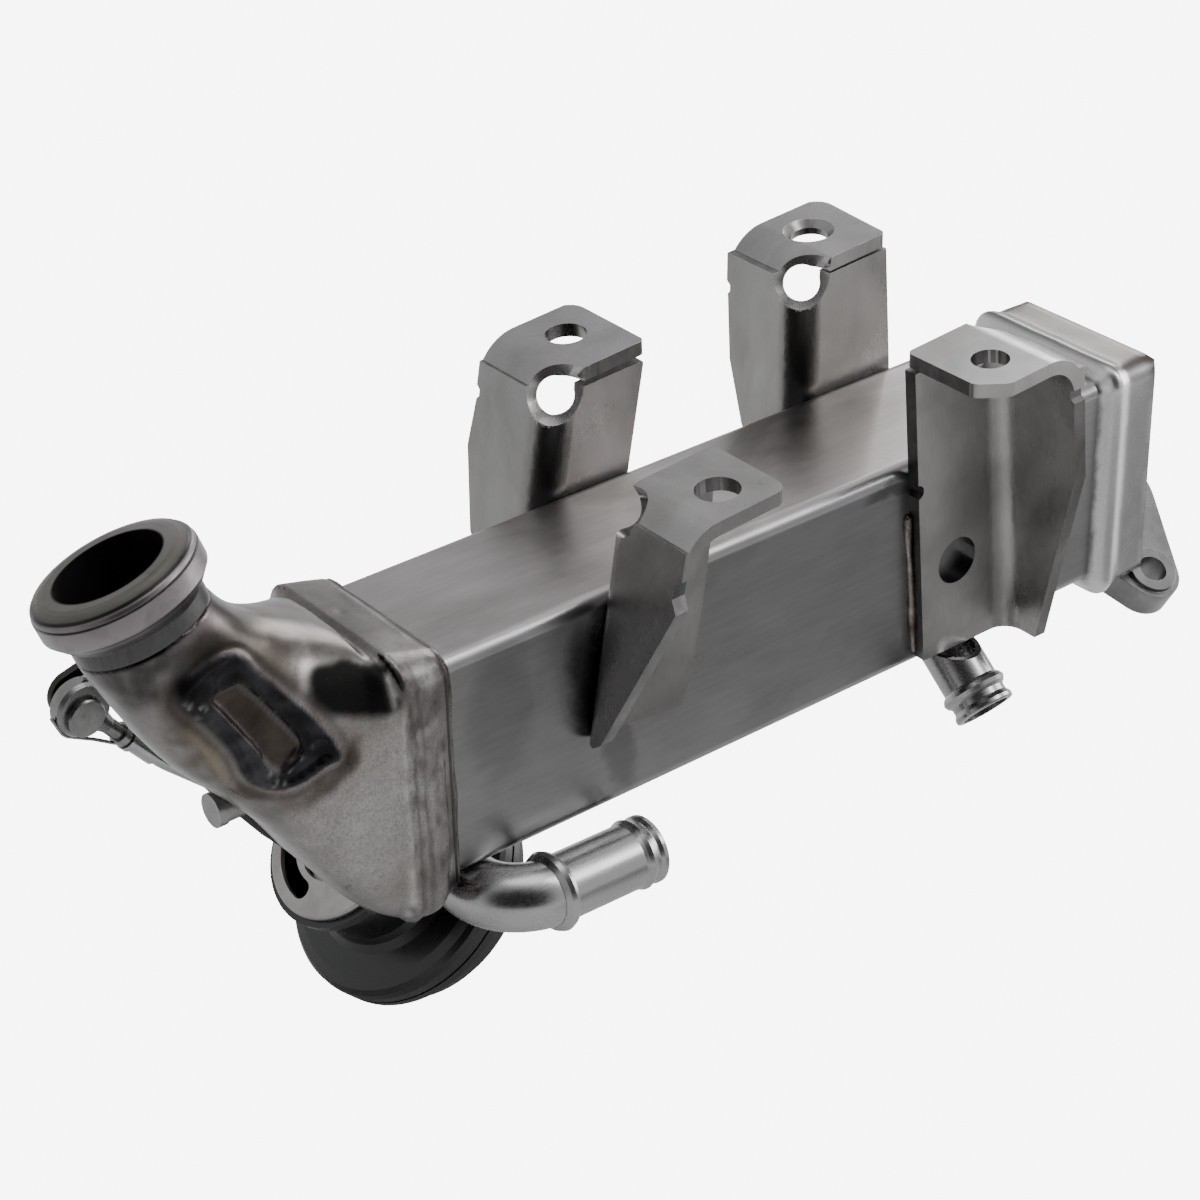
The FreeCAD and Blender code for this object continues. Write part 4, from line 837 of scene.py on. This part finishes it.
    def blob(cx, cz, rx, rz, turn=0.0, soft=0.55, sharp=False):
        ca, sa = math.cos(math.radians(turn)), math.sin(math.radians(turn))
        a0, b0 = ((pu0, pv0) if sharp else (pu, pv))
        dx, dz = a0 - cx, b0 - cz
        e = np.hypot((dx * ca + dz * sa) / rx, (-dx * sa + dz * ca) / rz)
        return (1 - step(e, 1 - soft, 1 + soft)) * face

    hb = (p - O) @ N0                     # height along the inlet's axis
    # all over: cloudy brownish greys
    lay((0.20, 0.185, 0.175), (0.35 + 0.45 * wa) * out)
    lay((0.17, 0.150, 0.145), np.exp(-np.abs(x + 47.5) / 2.0) * 0.5 * out)
    # the grainy lower wall
    low = blob(-70.0, 30.0, 24.0, 26.0, 0.0, 0.45)
    lay((0.50, 0.48, 0.47), low * (0.80 + 0.2 * wb))
    grain = np.maximum(grain, low)
    grain = np.maximum(grain, 0.5 * out * (x > -66))
    lay((0.34, 0.33, 0.325), blob(-112.0, 60.0, 9.0, 20.0, 35.0, 0.6) * 0.7)
    # neck and throat
    neck = step(hb, -34.0, -20.0)
    lay((0.085, 0.082, 0.083), neck * out * (0.72 + 0.25 * wc))
    lay((0.060, 0.056, 0.055), blob(-127.5, 90.5, 8.0, 5.5, -25.0, 0.6) * (0.6 + 0.4 * wc))
    lay((0.19, 0.185, 0.19), blob(-134.0, 84.0, 3.0, 12.0, 25.0, 0.7) * 0.6)
    # over the window: straw, brown and a mauve flush in the throat's hollow, with a painted highlight along
    # the valley
    lay((0.075, 0.065, 0.059), blob(-98.5, 89.0, 15.5, 10.5, -42.0, 0.5) * (0.90 + 0.3 * wc))
    lay((0.170, 0.140, 0.145), blob(-112.5, 102.5, 6.5, 5.0, -20.0, 0.7) * 0.85)
    lay((0.230, 0.200, 0.202), blob(-106.5, 98.0, 3.0, 5.5, 40.0, 0.7) * 0.7)
    lay((0.060, 0.053, 0.048), blob(-102.0, 99.5, 2.2, 8.0, 62.0, 0.8) * 0.6)
    lay((0.165, 0.147, 0.132), blob(-95.0, 93.5, 2.4, 9.0, 52.0, 0.8) * 0.65)
    lay((0.055, 0.047, 0.042), blob(-93.5, 87.0, 2.2, 10.0, 46.0, 0.8) * 0.5)
    lay((0.150, 0.130, 0.115), blob(-90.5, 79.0, 2.6, 9.0, 38.0, 0.8) * 0.6)
    # painted highlight: a narrow light streak along the valley beside the dark patch, with a fainter run up
    # to the left
    lay((0.480, 0.455, 0.445), blob(-84.6, 76.0, 1.4, 7.0, -3.0, 0.8) * 0.8)
    lay((0.300, 0.280, 0.272), blob(-87.5, 88.0, 2.4, 4.5, 35.0, 0.8) * 0.5)
    lay((0.125, 0.115, 0.110), blob(-77.0, 84.5, 16.0, 8.5, -48.0, 0.5) * 0.85)
    # lower left: straw and brown bands beside the bead
    lay((0.135, 0.112, 0.092), blob(-114.0, 66.0, 5.0, 13.0, 35.0, 0.6) * (0.75 + 0.35 * wc))
    lay((0.330, 0.285, 0.225), blob(-110.5, 63.0, 1.6, 8.0, 32.0, 0.8) * 0.75)
    lay((0.260, 0.225, 0.180), blob(-117.5, 73.5, 1.8, 6.0, 30.0, 0.8) * 0.6)
    lay((0.075, 0.060, 0.050), blob(-119.5, 79.5, 3.6, 7.0, 20.0, 0.7) * 0.75)
    lay((0.130, 0.105, 0.088), blob(-103.0, 50.0, 9.0, 2.6, -22.0, 0.7) * 0.8)
    # right and under the window: the hottest brown
    lay((0.200, 0.163, 0.135), blob(-74.0, 50.0, 6.0, 8.0, -30.0, 0.7) * 0.5)
    lay((0.075, 0.057, 0.047), blob(-73.0, 48.0, 2.3, 5.5, -25.0, 0.8) * 0.8)
    lay((0.060, 0.047, 0.040), blob(-80.0, 43.0, 7.0, 2.6, 35.0, 0.8) * 0.8)
    lay((0.150, 0.125, 0.110), blob(-88.0, 42.0, 8.0, 3.0, 12.0, 0.7) * 0.7)
    # over the bead: a black halo, heaviest at the upper left
    lay((0.040, 0.034, 0.031), blob(-110.5, 93.0, 9.0, 3.2, -8.0, 0.8) * 0.85)
    # painted reflection: a soft dark patch between the elbow's side and the rim, where a dark thing is
    # mirrored, with curved dark marks against the rim
    painted_reflection_outline = [(-82.6, 77.6), (-73.0, 75.6), (-63.0, 69.8), (-57.6, 66.2), (-56.8, 58.2),
            (-59.4, 53.2), (-70.5, 57.3), (-81.4, 62.6), (-83.9, 70.5)]
    dq, iq = seg_dist(pu0 + 0.5 * wc, pv0 + 0.5 * wc, smooth_poly(painted_reflection_outline))
    dark = step(np.where(iq, dq, -dq), -1.6, 1.9) * face
    lay((0.012, 0.012, 0.0115), dark * 0.98)
    lay((0.030, 0.029, 0.028), blob(-56.2, 61.3, 2.0, 4.4, 12.0, 0.6) * (0.4 + 0.6 * wc))
    # painted highlight: a bright spot on the rim's upper corner
    lay((0.520, 0.500, 0.490), blob(-50.4, 61.0, 2.2, 3.6, 25.0, 0.7) * 0.8)
    # the window
    soft = 1.0 + 0.9 * (1 - lr)
    bead = np.where(frontish, step(-s_o, -0.9 * soft, 0.8) * (1 - step(-s_i, -1.2, 1.0)), 0.0)
    cool = step(wave_noise(p, 9.0, 31, 4), -0.7, 0.9)[:, None]
    btone = np.array((0.018, 0.018, 0.020)) * (1 - cool) + np.array((0.046, 0.045, 0.050)) * cool
    lowleft = step(-((pu + 98.0) * 0.70 + (pv - 66.0) * 0.45), -1.0, 7.0)[:, None]
    btone = btone * (1 - lowleft) + (btone * 1.35 + 0.010) * lowleft
    tone[:] += (btone - tone) * bead[:, None]
    platem = np.where(frontish, step(-s_i, -0.9, 1.7), 0.0)
    ptone = np.array((0.066, 0.055, 0.048))[None, :] * (1 + 0.35 * wb[:, None])
    tone[:] += (np.clip(ptone, 0.02, 1) - tone) * platem[:, None]
    lay((0.020, 0.019, 0.021), np.where(frontish, np.exp(-((s_i - 0.5) / 0.75) ** 2) *
                                        step((u + 97.0) * 0.8 + (v - 66.0) * 0.55, -3.0, 5.0), 0.0)
        * 0.8)
    lowright = step((u + 96.0) * 0.62 - (v - 66.0) * 0.62, -5.0, 9.0)
    topside = step((u + 97.0) * 0.8 + (v - 66.0) * 0.55, -2.0, 6.0)
    # painted highlight: a light line along the weld's outer edge, strong on the lower right and fainter on
    # the upper side
    edge = np.where(frontish, np.exp(-((s_o - 0.5) / 0.50) ** 2), 0.0)
    lay((0.30, 0.268, 0.245), edge * (0.80 * lowright) * (0.75 + 0.4 * wc))
    lay((0.20, 0.175, 0.155), edge * topside * 0.6)
    outer = np.where(frontish & (s_o > 0), np.exp(-((s_o - 2.2) / 1.3) ** 2), 0.0)
    lay((0.050, 0.042, 0.037), outer * 0.55)
    smudge = np.maximum(blob(-115.8, 84.6, 4.2, 5.6, 15.0, 0.7),
                        blob(-111.5, 89.5, 5.5, 2.6, 10.0, 0.8) * 0.8)
    lay((0.009, 0.009, 0.010), smudge * (0.92 + 0.2 * wc))
    matt = np.maximum.reduce([matt, smudge * 0.9, dark * 0.9, platem * 0.15])
    # spatter that catches the light
    rs = np.random.RandomState(12)
    for cu, cv, k in ((-116.7, 80.6, 5), (-112.5, 77.7, 5), (-83.7, 54.9, 3), (-76.8, 49.9, 3),
                      (-97.0, 51.9, 3), (-94.2, 49.9, 3), (-90.0, 51.2, 3), (-86.8, 53.6, 3)):
        for _ in range(k):
            a0, b0 = cu + rs.normal() * 1.1, cv + rs.normal() * 0.9
            m = np.exp(-(np.hypot(pu0 - a0, pv0 - b0) / rs.uniform(0.28, 0.55)) ** 2) * face
            lay((0.30, 0.29, 0.285), m * rs.uniform(0.3, 0.8))
    # dark seams at the neck joint and the shell joint; painted shade at the foot of the rim's folds
    lay((0.012, 0.012, 0.012), np.exp(-((hb + 17.6) / 0.45) ** 2) * 0.95 * out)
    lay((0.020, 0.018, 0.018), np.exp(-((x + 48.2) / 0.55) ** 2) * 0.8 * out)
    lay((0.110, 0.100, 0.100), np.exp(-((x + 57.6 + 0.7 * lap) / 0.8) ** 2) * 0.5 * side)
    # painted highlight: a broken light line along the rim's front ridge
    lay((0.560, 0.545, 0.535), np.exp(-((x + 63.2 + 0.5 * lap) / 1.1) ** 2) * 0.85 * side *
        step(wc + 0.3 * lump, -0.9, 0.5))
    # painted shade: a dark line beside that ridge
    lay((0.090, 0.080, 0.078), np.exp(-((x + 60.4 + 0.9 * lap) / 0.8) ** 2) * 0.6 * side)
    # painted shade: the rim's dents are darkened
    lay((0.130, 0.118, 0.120), np.clip(-lump, 0, 1) * 0.6 * side * (x > -62))
    lay((0.015, 0.014, 0.013), np.where(out, 0.0, 1.0))
    for nm, val in (("grain", grain), ("matt", np.maximum(matt, np.where(out, 0.0, 0.6)))):
        attr(nm, val)
    ca_ = me.attributes.new("tone", "FLOAT_COLOR", "POINT")
    rgba = np.ones((n, 4), np.float32)
    rgba[:, :3] = np.clip(tone, 0.004, 1)
    ca_.data.foreach_set("color", rgba.ravel())
    for pl in me.polygons:
        pl.use_smooth = True
    me.materials.clear()
    me.materials.append(M["housing"])
    ob = bpy.data.objects.new("inlet_housing_skin", me)
    bpy.context.scene.collection.objects.link(ob)
    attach(ob, "cooler")
    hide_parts("inlet_housing", "window_cover")
    return ob


build_housing()


# painted highlight: very bright steel on the broken edges of the brackets
M["worn"] = bracket_steel("worn_edge", 2.9)
# relief holes at the corner of the bends: centre, direction, bevel, bore
RELIEF = {"bracket_rear_left": ((28.2, 52.6, 93.6), (0.62, 0.62, -0.48), 12.2, 5.15),
          "bracket_rear_right": ((115.6, 52.6, 99.8), (0.62, 0.62, -0.48), 12.2, 5.15)}
for nd in ("bracket_rear_left", "bracket_rear_right", "bracket_front_left", "bracket_front_right"):
    # the front right bracket takes the lighter, painted-light copy
    mt = M["bracket_light"] if nd == "bracket_front_right" else M["bracket"]
    if "rear" in nd:
        mt = M["bracket_rear"]
    cutter = spare = None
    if nd in RELIEF:
        c, d, rb, r = RELIEF[nd]
        cutter = cone_solid(c, d, [(-4.0, rb + 4.0), (rb - r, r), (14.0, r)])
        spare = (c, d, 10.0)
    sk = skin(nd, "cooler", mt, width=0.55, seg=2, edge=M["worn"], cut=cutter, spare=spare)
    if nd in RELIEF:
        # the bevel keeps its own, brighter cut finish, partly a painted highlight
        dd = np.array(d) / np.linalg.norm(d)
        sk.data.materials.append(M["bevel"])
        for pl in sk.data.polygons:
            q = np.array(pl.center) * 1000.0 + O - np.array(c)
            s0 = q @ dd
            rad = np.linalg.norm(q - dd * s0)
            if -4.0 < s0 < rb - r + 0.4 and rad < rb + 3.0 and abs(rad - (rb - s0)) < 0.5:
                pl.material_index = 2
    while len(sk.data.materials) < 3:
        sk.data.materials.append(M["bevel"])
    sk.data.materials.append(M["sheared"])
    cut_edges(sk, 3)
skin("cooler_shell", "cooler", M["shell"], width=0.2, seg=1, angle=50.0)
skin("outlet_header", "cooler", M["pressed"], width=1.3, seg=4)
skin("outlet_flange", "cooler", M["flange_out"], width=0.5, seg=2)
skin("actuator_end_plate", "cooler", M["plate"], width=0.3, seg=2)
skin("lever_arm", "flap", M["lever"], width=0.35, seg=2)
skin("blanking_plug", "cooler", M["zinc"], width=0.25, seg=2)
skin("actuator_bracket", "cooler", M["black"], width=0.3, seg=2)
for nd, mt in (("inlet_flange", "flange_in"), ("coolant_pipe_front", "pipe"),
               ("coolant_pipe_rear", "pipe"), ("inlet_tube_plate", "core"),
               ("outlet_tube_plate", "core"), ("gas_tubes", "core"), ("bypass_tube", "core"),
               ("baffle_plates", "core"), ("divider_plate", "core"), ("front_bush", "core"),
               ("rear_bush", "core"), ("flap_shaft", "shaft"), ("flap_plate", "core"),
               ("flap_screws", "core"), ("ball_stud", "lever"), ("ball_socket", "socket"),
               ("socket_clip", "zinc"), ("rod_sleeve", "shaft"), ("actuator_rod", "shaft"),
               ("actuator_housing", "black"), ("actuator_cover", "black"),
               ("diaphragm", "rubber"), ("piston_cup", "zinc"),
               ("vacuum_nipple", "zinc"), ("actuator_studs", "zinc"), ("actuator_nuts", "zinc")):
    dress(nd, M[mt])

# the return spring, which is pressed against its cover as the piston goes down, gets a skin with a mesh of
# its own
spring = skin("return_spring", "cooler", M["zinc"], width=0.0)
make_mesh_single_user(spring)


# ------------------------------------------------------------------ weld beads
def weld(name, pts, half_w, height, normals, mat, seed=1, pitch=1.5, closed=False):
    """A run of weld: a lumpy bead with ripples laid along a path of points.
    pts and normals are in working millimetres; the bead rises along normals."""
    P = [np.array(q, float) for q in pts]
    Nn = [np.array(q, float) / np.linalg.norm(q) for q in normals]
    if closed:
        P.append(P[0])
        Nn.append(Nn[0])
    L = [0.0]
    for a, b in zip(P, P[1:]):
        L.append(L[-1] + np.linalg.norm(b - a))
    total = L[-1]
    count = max(12, int(total / 0.42))
    rng = np.random.RandomState(seed)
    ph = rng.uniform(0, 6.28, 6)
    bm = bmesh.new()
    rings = []
    K = 10
    for k in range(count + (0 if closed else 1)):
        s = total * k / count
        i = 0
        while i < len(L) - 2 and L[i + 1] < s:
            i += 1
        f = (s - L[i]) / max(1e-9, L[i + 1] - L[i])
        c = P[i] + (P[i + 1] - P[i]) * f
        t = (P[i + 1] - P[i])
        t = t / np.linalg.norm(t)
        nn = Nn[i] * (1 - f) + Nn[i + 1] * f
        nn = nn - t * (nn @ t)
        nn = nn / np.linalg.norm(nn)
        side = np.cross(t, nn)
        lump = 1 + 0.14 * math.sin(s / 5.1 + ph[0]) + 0.09 * math.sin(s / 2.3 + ph[1])
        rip = 0.10 * abs(math.sin(math.pi * s / pitch + 0.5 * math.sin(s / 7.0 + ph[2])))
        end = 1.0
        if not closed:
            e = min(s, total - s)
            end = math.sqrt(max(0.02, 1 - (1 - min(1.0, e / (half_w * 1.2))) ** 2))
        off = 0.18 * math.sin(s / 4.3 + ph[3]) * half_w * 0.5
        ring = []
        for j in range(K):
            a = 2 * math.pi * j / K
            yy = math.cos(a) * half_w * lump * end + off
            zz = math.sin(a)
            zz = zz * height * (lump + rip) * end if zz > 0 else zz * height * 0.6 * end
            q = c + side * yy + nn * zz
            ring.append(bm.verts.new(tuple(W(*q))))
        rings.append(ring)
    m = len(rings)
    for k in range(m if closed else m - 1):
        a, b = rings[k], rings[(k + 1) % m]
        for j in range(K):
            bm.faces.new((a[j], a[(j + 1) % K], b[(j + 1) % K], b[j]))
    if not closed:
        bm.faces.new(rings[0][::-1])
        bm.faces.new(rings[-1])
    bmesh.ops.recalc_face_normals(bm, faces=bm.faces)
    ob = finish_mesh(bm, name)
    ob.data.materials.append(mat)
    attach(ob, "cooler")
    return ob


def box_ring(x, y0, y1, z0, z1, r, per=5):
    """Points and outward normals round a rounded box section at x."""
    pts, nrm = [], []
    for cy, cz, a0 in ((y1 - r, z1 - r, 0), (y0 + r, z1 - r, 90), (y0 + r, z0 + r, 180),
                       (y1 - r, z0 + r, 270)):
        for k in range(per + 1):
            a = math.radians(a0 + 90.0 * k / per)
            pts.append((x, cy + r * math.cos(a), cz + r * math.sin(a)))
            nrm.append((0, math.cos(a), math.sin(a)))
    return pts, nrm


pp, nn = box_ring(-46.3, -0.15, 50.15, -0.15, 65.15, 4.1)
weld("weld_housing_shell", pp, 0.9, 0.75, nn, M["weld"], seed=2, closed=True)


weld("weld_bracket_front_right", [(108.4, -0.3, 50.0), (109.2, -0.3, 40.0), (110.9, -0.3, 22.0),
                                  (112.4, -0.3, 4.5)],
     1.1, 1.0, [(-0.45, -0.9, 0)] * 4, M["weld"], seed=5)
weld("weld_bracket_front_left", [(25.8, -0.3, 26.5), (28.6, -0.3, 33.0), (30.5, -0.3, 43.0),
                                 (32.7, -0.3, 53.0)],
     0.9, 0.8, [(0.45, -0.9, 0)] * 4, M["weld"], seed=6)
circ = [(-38.2 + 9.4 * math.cos(t * math.pi / 12), 15.5 + 9.4 * math.sin(t * math.pi / 12), -0.3)
        for t in range(24)]
weld("weld_pipe_front", circ, 1.0, 0.9,
     [(math.cos(t * math.pi / 12), math.sin(t * math.pi / 12), -1.0) for t in range(24)],
     M["weld"], seed=7, closed=True)


def tongue(name, path, y0, y1, t, mat):
    """A bent strip of sheet: a path in X and Z, run along Y, t thick."""
    bm = bmesh.new()
    rows = []
    for i, (x, z) in enumerate(path):
        a = np.array(path[max(0, i - 1)], float)
        b = np.array(path[min(len(path) - 1, i + 1)], float)
        d = (b - a) / np.linalg.norm(b - a)
        nx, nz = d[1], -d[0]
        rows.append([bm.verts.new(tuple(W(x + nx * k, y, z + nz * k)))
                     for k, y in ((0, y0), (0, y1), (t, y1), (t, y0))])
    for a, b in zip(rows, rows[1:]):
        for j in range(4):
            bm.faces.new((a[j], a[(j + 1) % 4], b[(j + 1) % 4], b[j]))
    bm.faces.new(rows[0][::-1])
    bm.faces.new(rows[-1])
    bmesh.ops.recalc_face_normals(bm, faces=bm.faces)
    sharp = [e for e in bm.edges if e.calc_face_angle(0.0) > 0.9]
    bmesh.ops.bevel(bm, geom=sharp, offset=0.0005, offset_type="OFFSET", segments=2, profile=0.5,
                    affect="EDGES", clamp_overlap=True)
    ob = finish_mesh(bm, name)
    md = ob.modifiers.new("normals", "WEIGHTED_NORMAL")
    md.keep_sharp = False
    ob.data.materials.append(mat)
    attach(ob, "cooler")
    return ob


tongue("actuator_bracket_tongue",
       [(-89.4, 21.6), (-88.2, 19.8), (-83.6, 13.4), (-79.2, 8.1), (-74.8, 3.1), (-69.6, -2.8),
        (-64.1, -8.6), (-58.4, -13.4), (-52.7, -16.9)], 32.0, 50.0, -3.4, M["black"])


def collar(name, profile, mat):
    """The header's rolled lip: rings that swell from the shell's outline to the
    header's. profile: (x, share), where 0 is the shell's outline and 1 the
    header's."""
    bm = bmesh.new()
    rings = []
    for x, f in profile:
        pts, _ = box_ring(x, -3.0 * f, 50.0 + 3.0 * f, -4.0 * f, 65.0 + 3.0 * f, 4.0 + 2.0 * f, 7)
        fine = []
        for i in range(len(pts)):
            a, b = np.array(pts[i]), np.array(pts[(i + 1) % len(pts)])
            m = 1 if i % 8 != 7 else 14
            fine += [a + (b - a) * (k / m) for k in range(m)]
        ring = []
        for q in fine:
            w = 0.05 * math.sin(q[1] * 0.33 + x * 0.5) + 0.05 * math.sin(q[2] * 0.27 + 1.0)
            cy, cz = 25.0, 32.0
            v_ = np.array((0.0, (q[1] - cy) / 28.0, (q[2] - cz) / 36.0))
            ring.append(bm.verts.new(tuple(W(*(q + v_ * w * min(1.0, f * 2))))))
        rings.append(ring)
    for a, b in zip(rings, rings[1:]):
        m = len(a)
        for j in range(m):
            bm.faces.new((a[j], a[(j + 1) % m], b[(j + 1) % m], b[j]))
    bmesh.ops.recalc_face_normals(bm, faces=bm.faces)
    ob = finish_mesh(bm, name)
    ob.data.materials.append(mat)
    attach(ob, "cooler")
    return ob


collar("header_lip", [(182.4, -0.06), (182.8, 0.03), (183.3, 0.14), (183.9, 0.36), (184.6, 0.70),
                      (185.4, 1.06), (186.3, 1.33), (187.2, 1.46), (188.1, 1.48), (189.0, 1.41),
                      (189.9, 1.31), (190.8, 1.19), (191.7, 1.09), (192.6, 1.04), (193.6, 1.02),
                      (196.0, 1.02), (200.0, 1.02), (202.0, 1.015), (202.6, 0.97)], M["pressed"])

# ------------------------------------------------------------------ floor and light
lo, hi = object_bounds()
lo, hi = Vector(lo), Vector(hi)
mid_x, mid_y = (lo.x + hi.x) / 2, (lo.y + hi.y) / 2
bm = bmesh.new()
bmesh.ops.create_grid(bm, x_segments=24, y_segments=24, size=4.0)
for vv in bm.verts:
    vv.co.x += mid_x
    vv.co.y += mid_y
    vv.co.z = lo.z - 0.0006
floor = finish_mesh(bm, "floor")
fn = Net("floor_pale")
fn.nt.nodes.remove(fn.bsdf)
fout = [k for k in fn.nt.nodes if k.type == "OUTPUT_MATERIAL"][0]
# The table is paler far behind the object than in front of it, as a sweep lit
# from behind is; looked at directly it is an even near white.
sep = fn.new("ShaderNodeVectorMath")
sep.operation = "DOT_PRODUCT"
geo = fn.new("ShaderNodeNewGeometry")
off = fn.new("ShaderNodeVectorMath")
off.operation = "SUBTRACT"
fn.link(geo.outputs["Position"], off.inputs[0])
off.inputs[1].default_value = (mid_x, mid_y, 0.0)
fn.link(off.outputs[0], sep.inputs[0])
sep.inputs[1].default_value = (-0.608, -0.794, 0.0)
base = fn.rng(sep.outputs["Value"], -0.25, 0.25, 0.86, 0.72, True)


def spot(cx, cy, sx, sy, r0, r1):
    """One inside a soft oval on the table, zero outside."""
    sc = fn.new("ShaderNodeVectorMath")
    sc.operation = "MULTIPLY_ADD"
    fn.link(geo.outputs["Position"], sc.inputs[0])
    sc.inputs[1].default_value = (1.0 / sx, 1.0 / sy, 0.0)
    sc.inputs[2].default_value = (-cx / sx, -cy / sy, 0.0)
    ln = fn.new("ShaderNodeVectorMath")
    ln.operation = "LENGTH"
    fn.link(sc.outputs[0], ln.inputs[0])
    return fn.rng(ln.outputs["Value"], r0, r1, 1.0, 0.0, True)


card = spot(0.32, -0.22, 0.22, 0.15, 0.45, 1.25)
fcol = fn.mix(card, fn.ramp(base, [(0.0, grey(0.0)), (1.0, grey(1.0))]), grey(0.24))
dif = fn.new("ShaderNodeBsdfDiffuse")
fn.put(dif.inputs["Color"], fcol)
pale = fn.new("ShaderNodeBsdfDiffuse")
pale.inputs["Color"].default_value = (0.8, 0.805, 0.81, 1)
glow = fn.new("ShaderNodeEmission")
glow.inputs["Color"].default_value = (0.985, 0.992, 1.0, 1)
glow.inputs["Strength"].default_value = 8.3
near = fn.new("ShaderNodeMixShader")
near.inputs[0].default_value = 0.90
fn.link(pale.outputs[0], near.inputs[1])
fn.link(glow.outputs[0], near.inputs[2])
lp = fn.new("ShaderNodeLightPath")
both = fn.new("ShaderNodeMixShader")
fn.link(lp.outputs["Is Camera Ray"], both.inputs[0])
fn.link(dif.outputs[0], both.inputs[1])
fn.link(near.outputs[0], both.inputs[2])
fn.link(both.outputs[0], fout.inputs[0])
floor.data.materials.append(fn.mat)

world = bpy.data.worlds.new("studio")
bpy.context.scene.world = world
world.use_nodes = True
wt = world.node_tree
wt.nodes.clear()
wo = wt.nodes.new("ShaderNodeOutputWorld")
bg = wt.nodes.new("ShaderNodeBackground")
wt.links.new(bg.outputs[0], wo.inputs[0])
wtc = wt.nodes.new("ShaderNodeTexCoord")
wdot = wt.nodes.new("ShaderNodeVectorMath")
wdot.operation = "DOT_PRODUCT"
wt.links.new(wtc.outputs["Generated"], wdot.inputs[0])
wdot.inputs[1].default_value = (-0.55, -0.72, 0.42)
wr = wt.nodes.new("ShaderNodeMapRange")
wr.interpolation_type = "SMOOTHSTEP"
wt.links.new(wdot.outputs["Value"], wr.inputs["Value"])
wr.inputs["From Min"].default_value = 0.58
wr.inputs["From Max"].default_value = 0.90
wr.inputs["To Min"].default_value = 0.85
wr.inputs["To Max"].default_value = 0.03
wt.links.new(wr.outputs[0], bg.inputs["Strength"])
bg.inputs["Color"].default_value = (0.97, 0.985, 1.0, 1)


def area(name, loc, target, size, power, size_y=None, col=(1, 1, 1)):
    l = bpy.data.lights.new(name, "AREA")
    l.energy = power
    l.color = col
    l.shape = "RECTANGLE"
    l.size = size
    l.size_y = size_y or size
    o = bpy.data.objects.new(name, l)
    bpy.context.scene.collection.objects.link(o)
    o.location = loc
    d = Vector(target) - Vector(loc)
    o.rotation_euler = d.to_track_quat("-Z", "Y").to_euler()
    o.visible_camera = False
    return o


centre = (mid_x, mid_y, -0.06)
area("key_top", (mid_x + 0.1, mid_y + 0.1, 1.4), centre, 1.0, 6.0)
area("front_right", (mid_x + 0.75, mid_y - 0.75, 1.05), centre, 0.30, 9.0, 1.2)
area("right_side", (mid_x + 1.2, mid_y - 0.25, 0.10), centre, 0.5, 6.0, 0.7)
area("back", (mid_x + 1.82, mid_y + 1.03, 0.80), centre, 0.9, 17.0, 0.9)

# ------------------------------------------------------------------ camera
right = Vector((0.78448, -0.61967, -0.02434))
down = Vector((-0.33216, -0.38671, -0.86030))
fwd = Vector((0.52369, 0.68298, -0.50920))
cam_d = bpy.data.cameras.new("camera")
cam_d.sensor_width = 36.0
cam_d.lens = 91.0
cam_d.clip_start = 0.02
cam_d.clip_end = 30.0
cam = bpy.data.objects.new("camera", cam_d)
bpy.context.scene.collection.objects.link(cam)
m3 = Matrix((right, -down, -fwd)).transposed()
cam.matrix_world = Matrix.Translation(W(-399.53, -523.63, 454.45)) @ m3.to_4x4()
bpy.context.scene.camera = cam
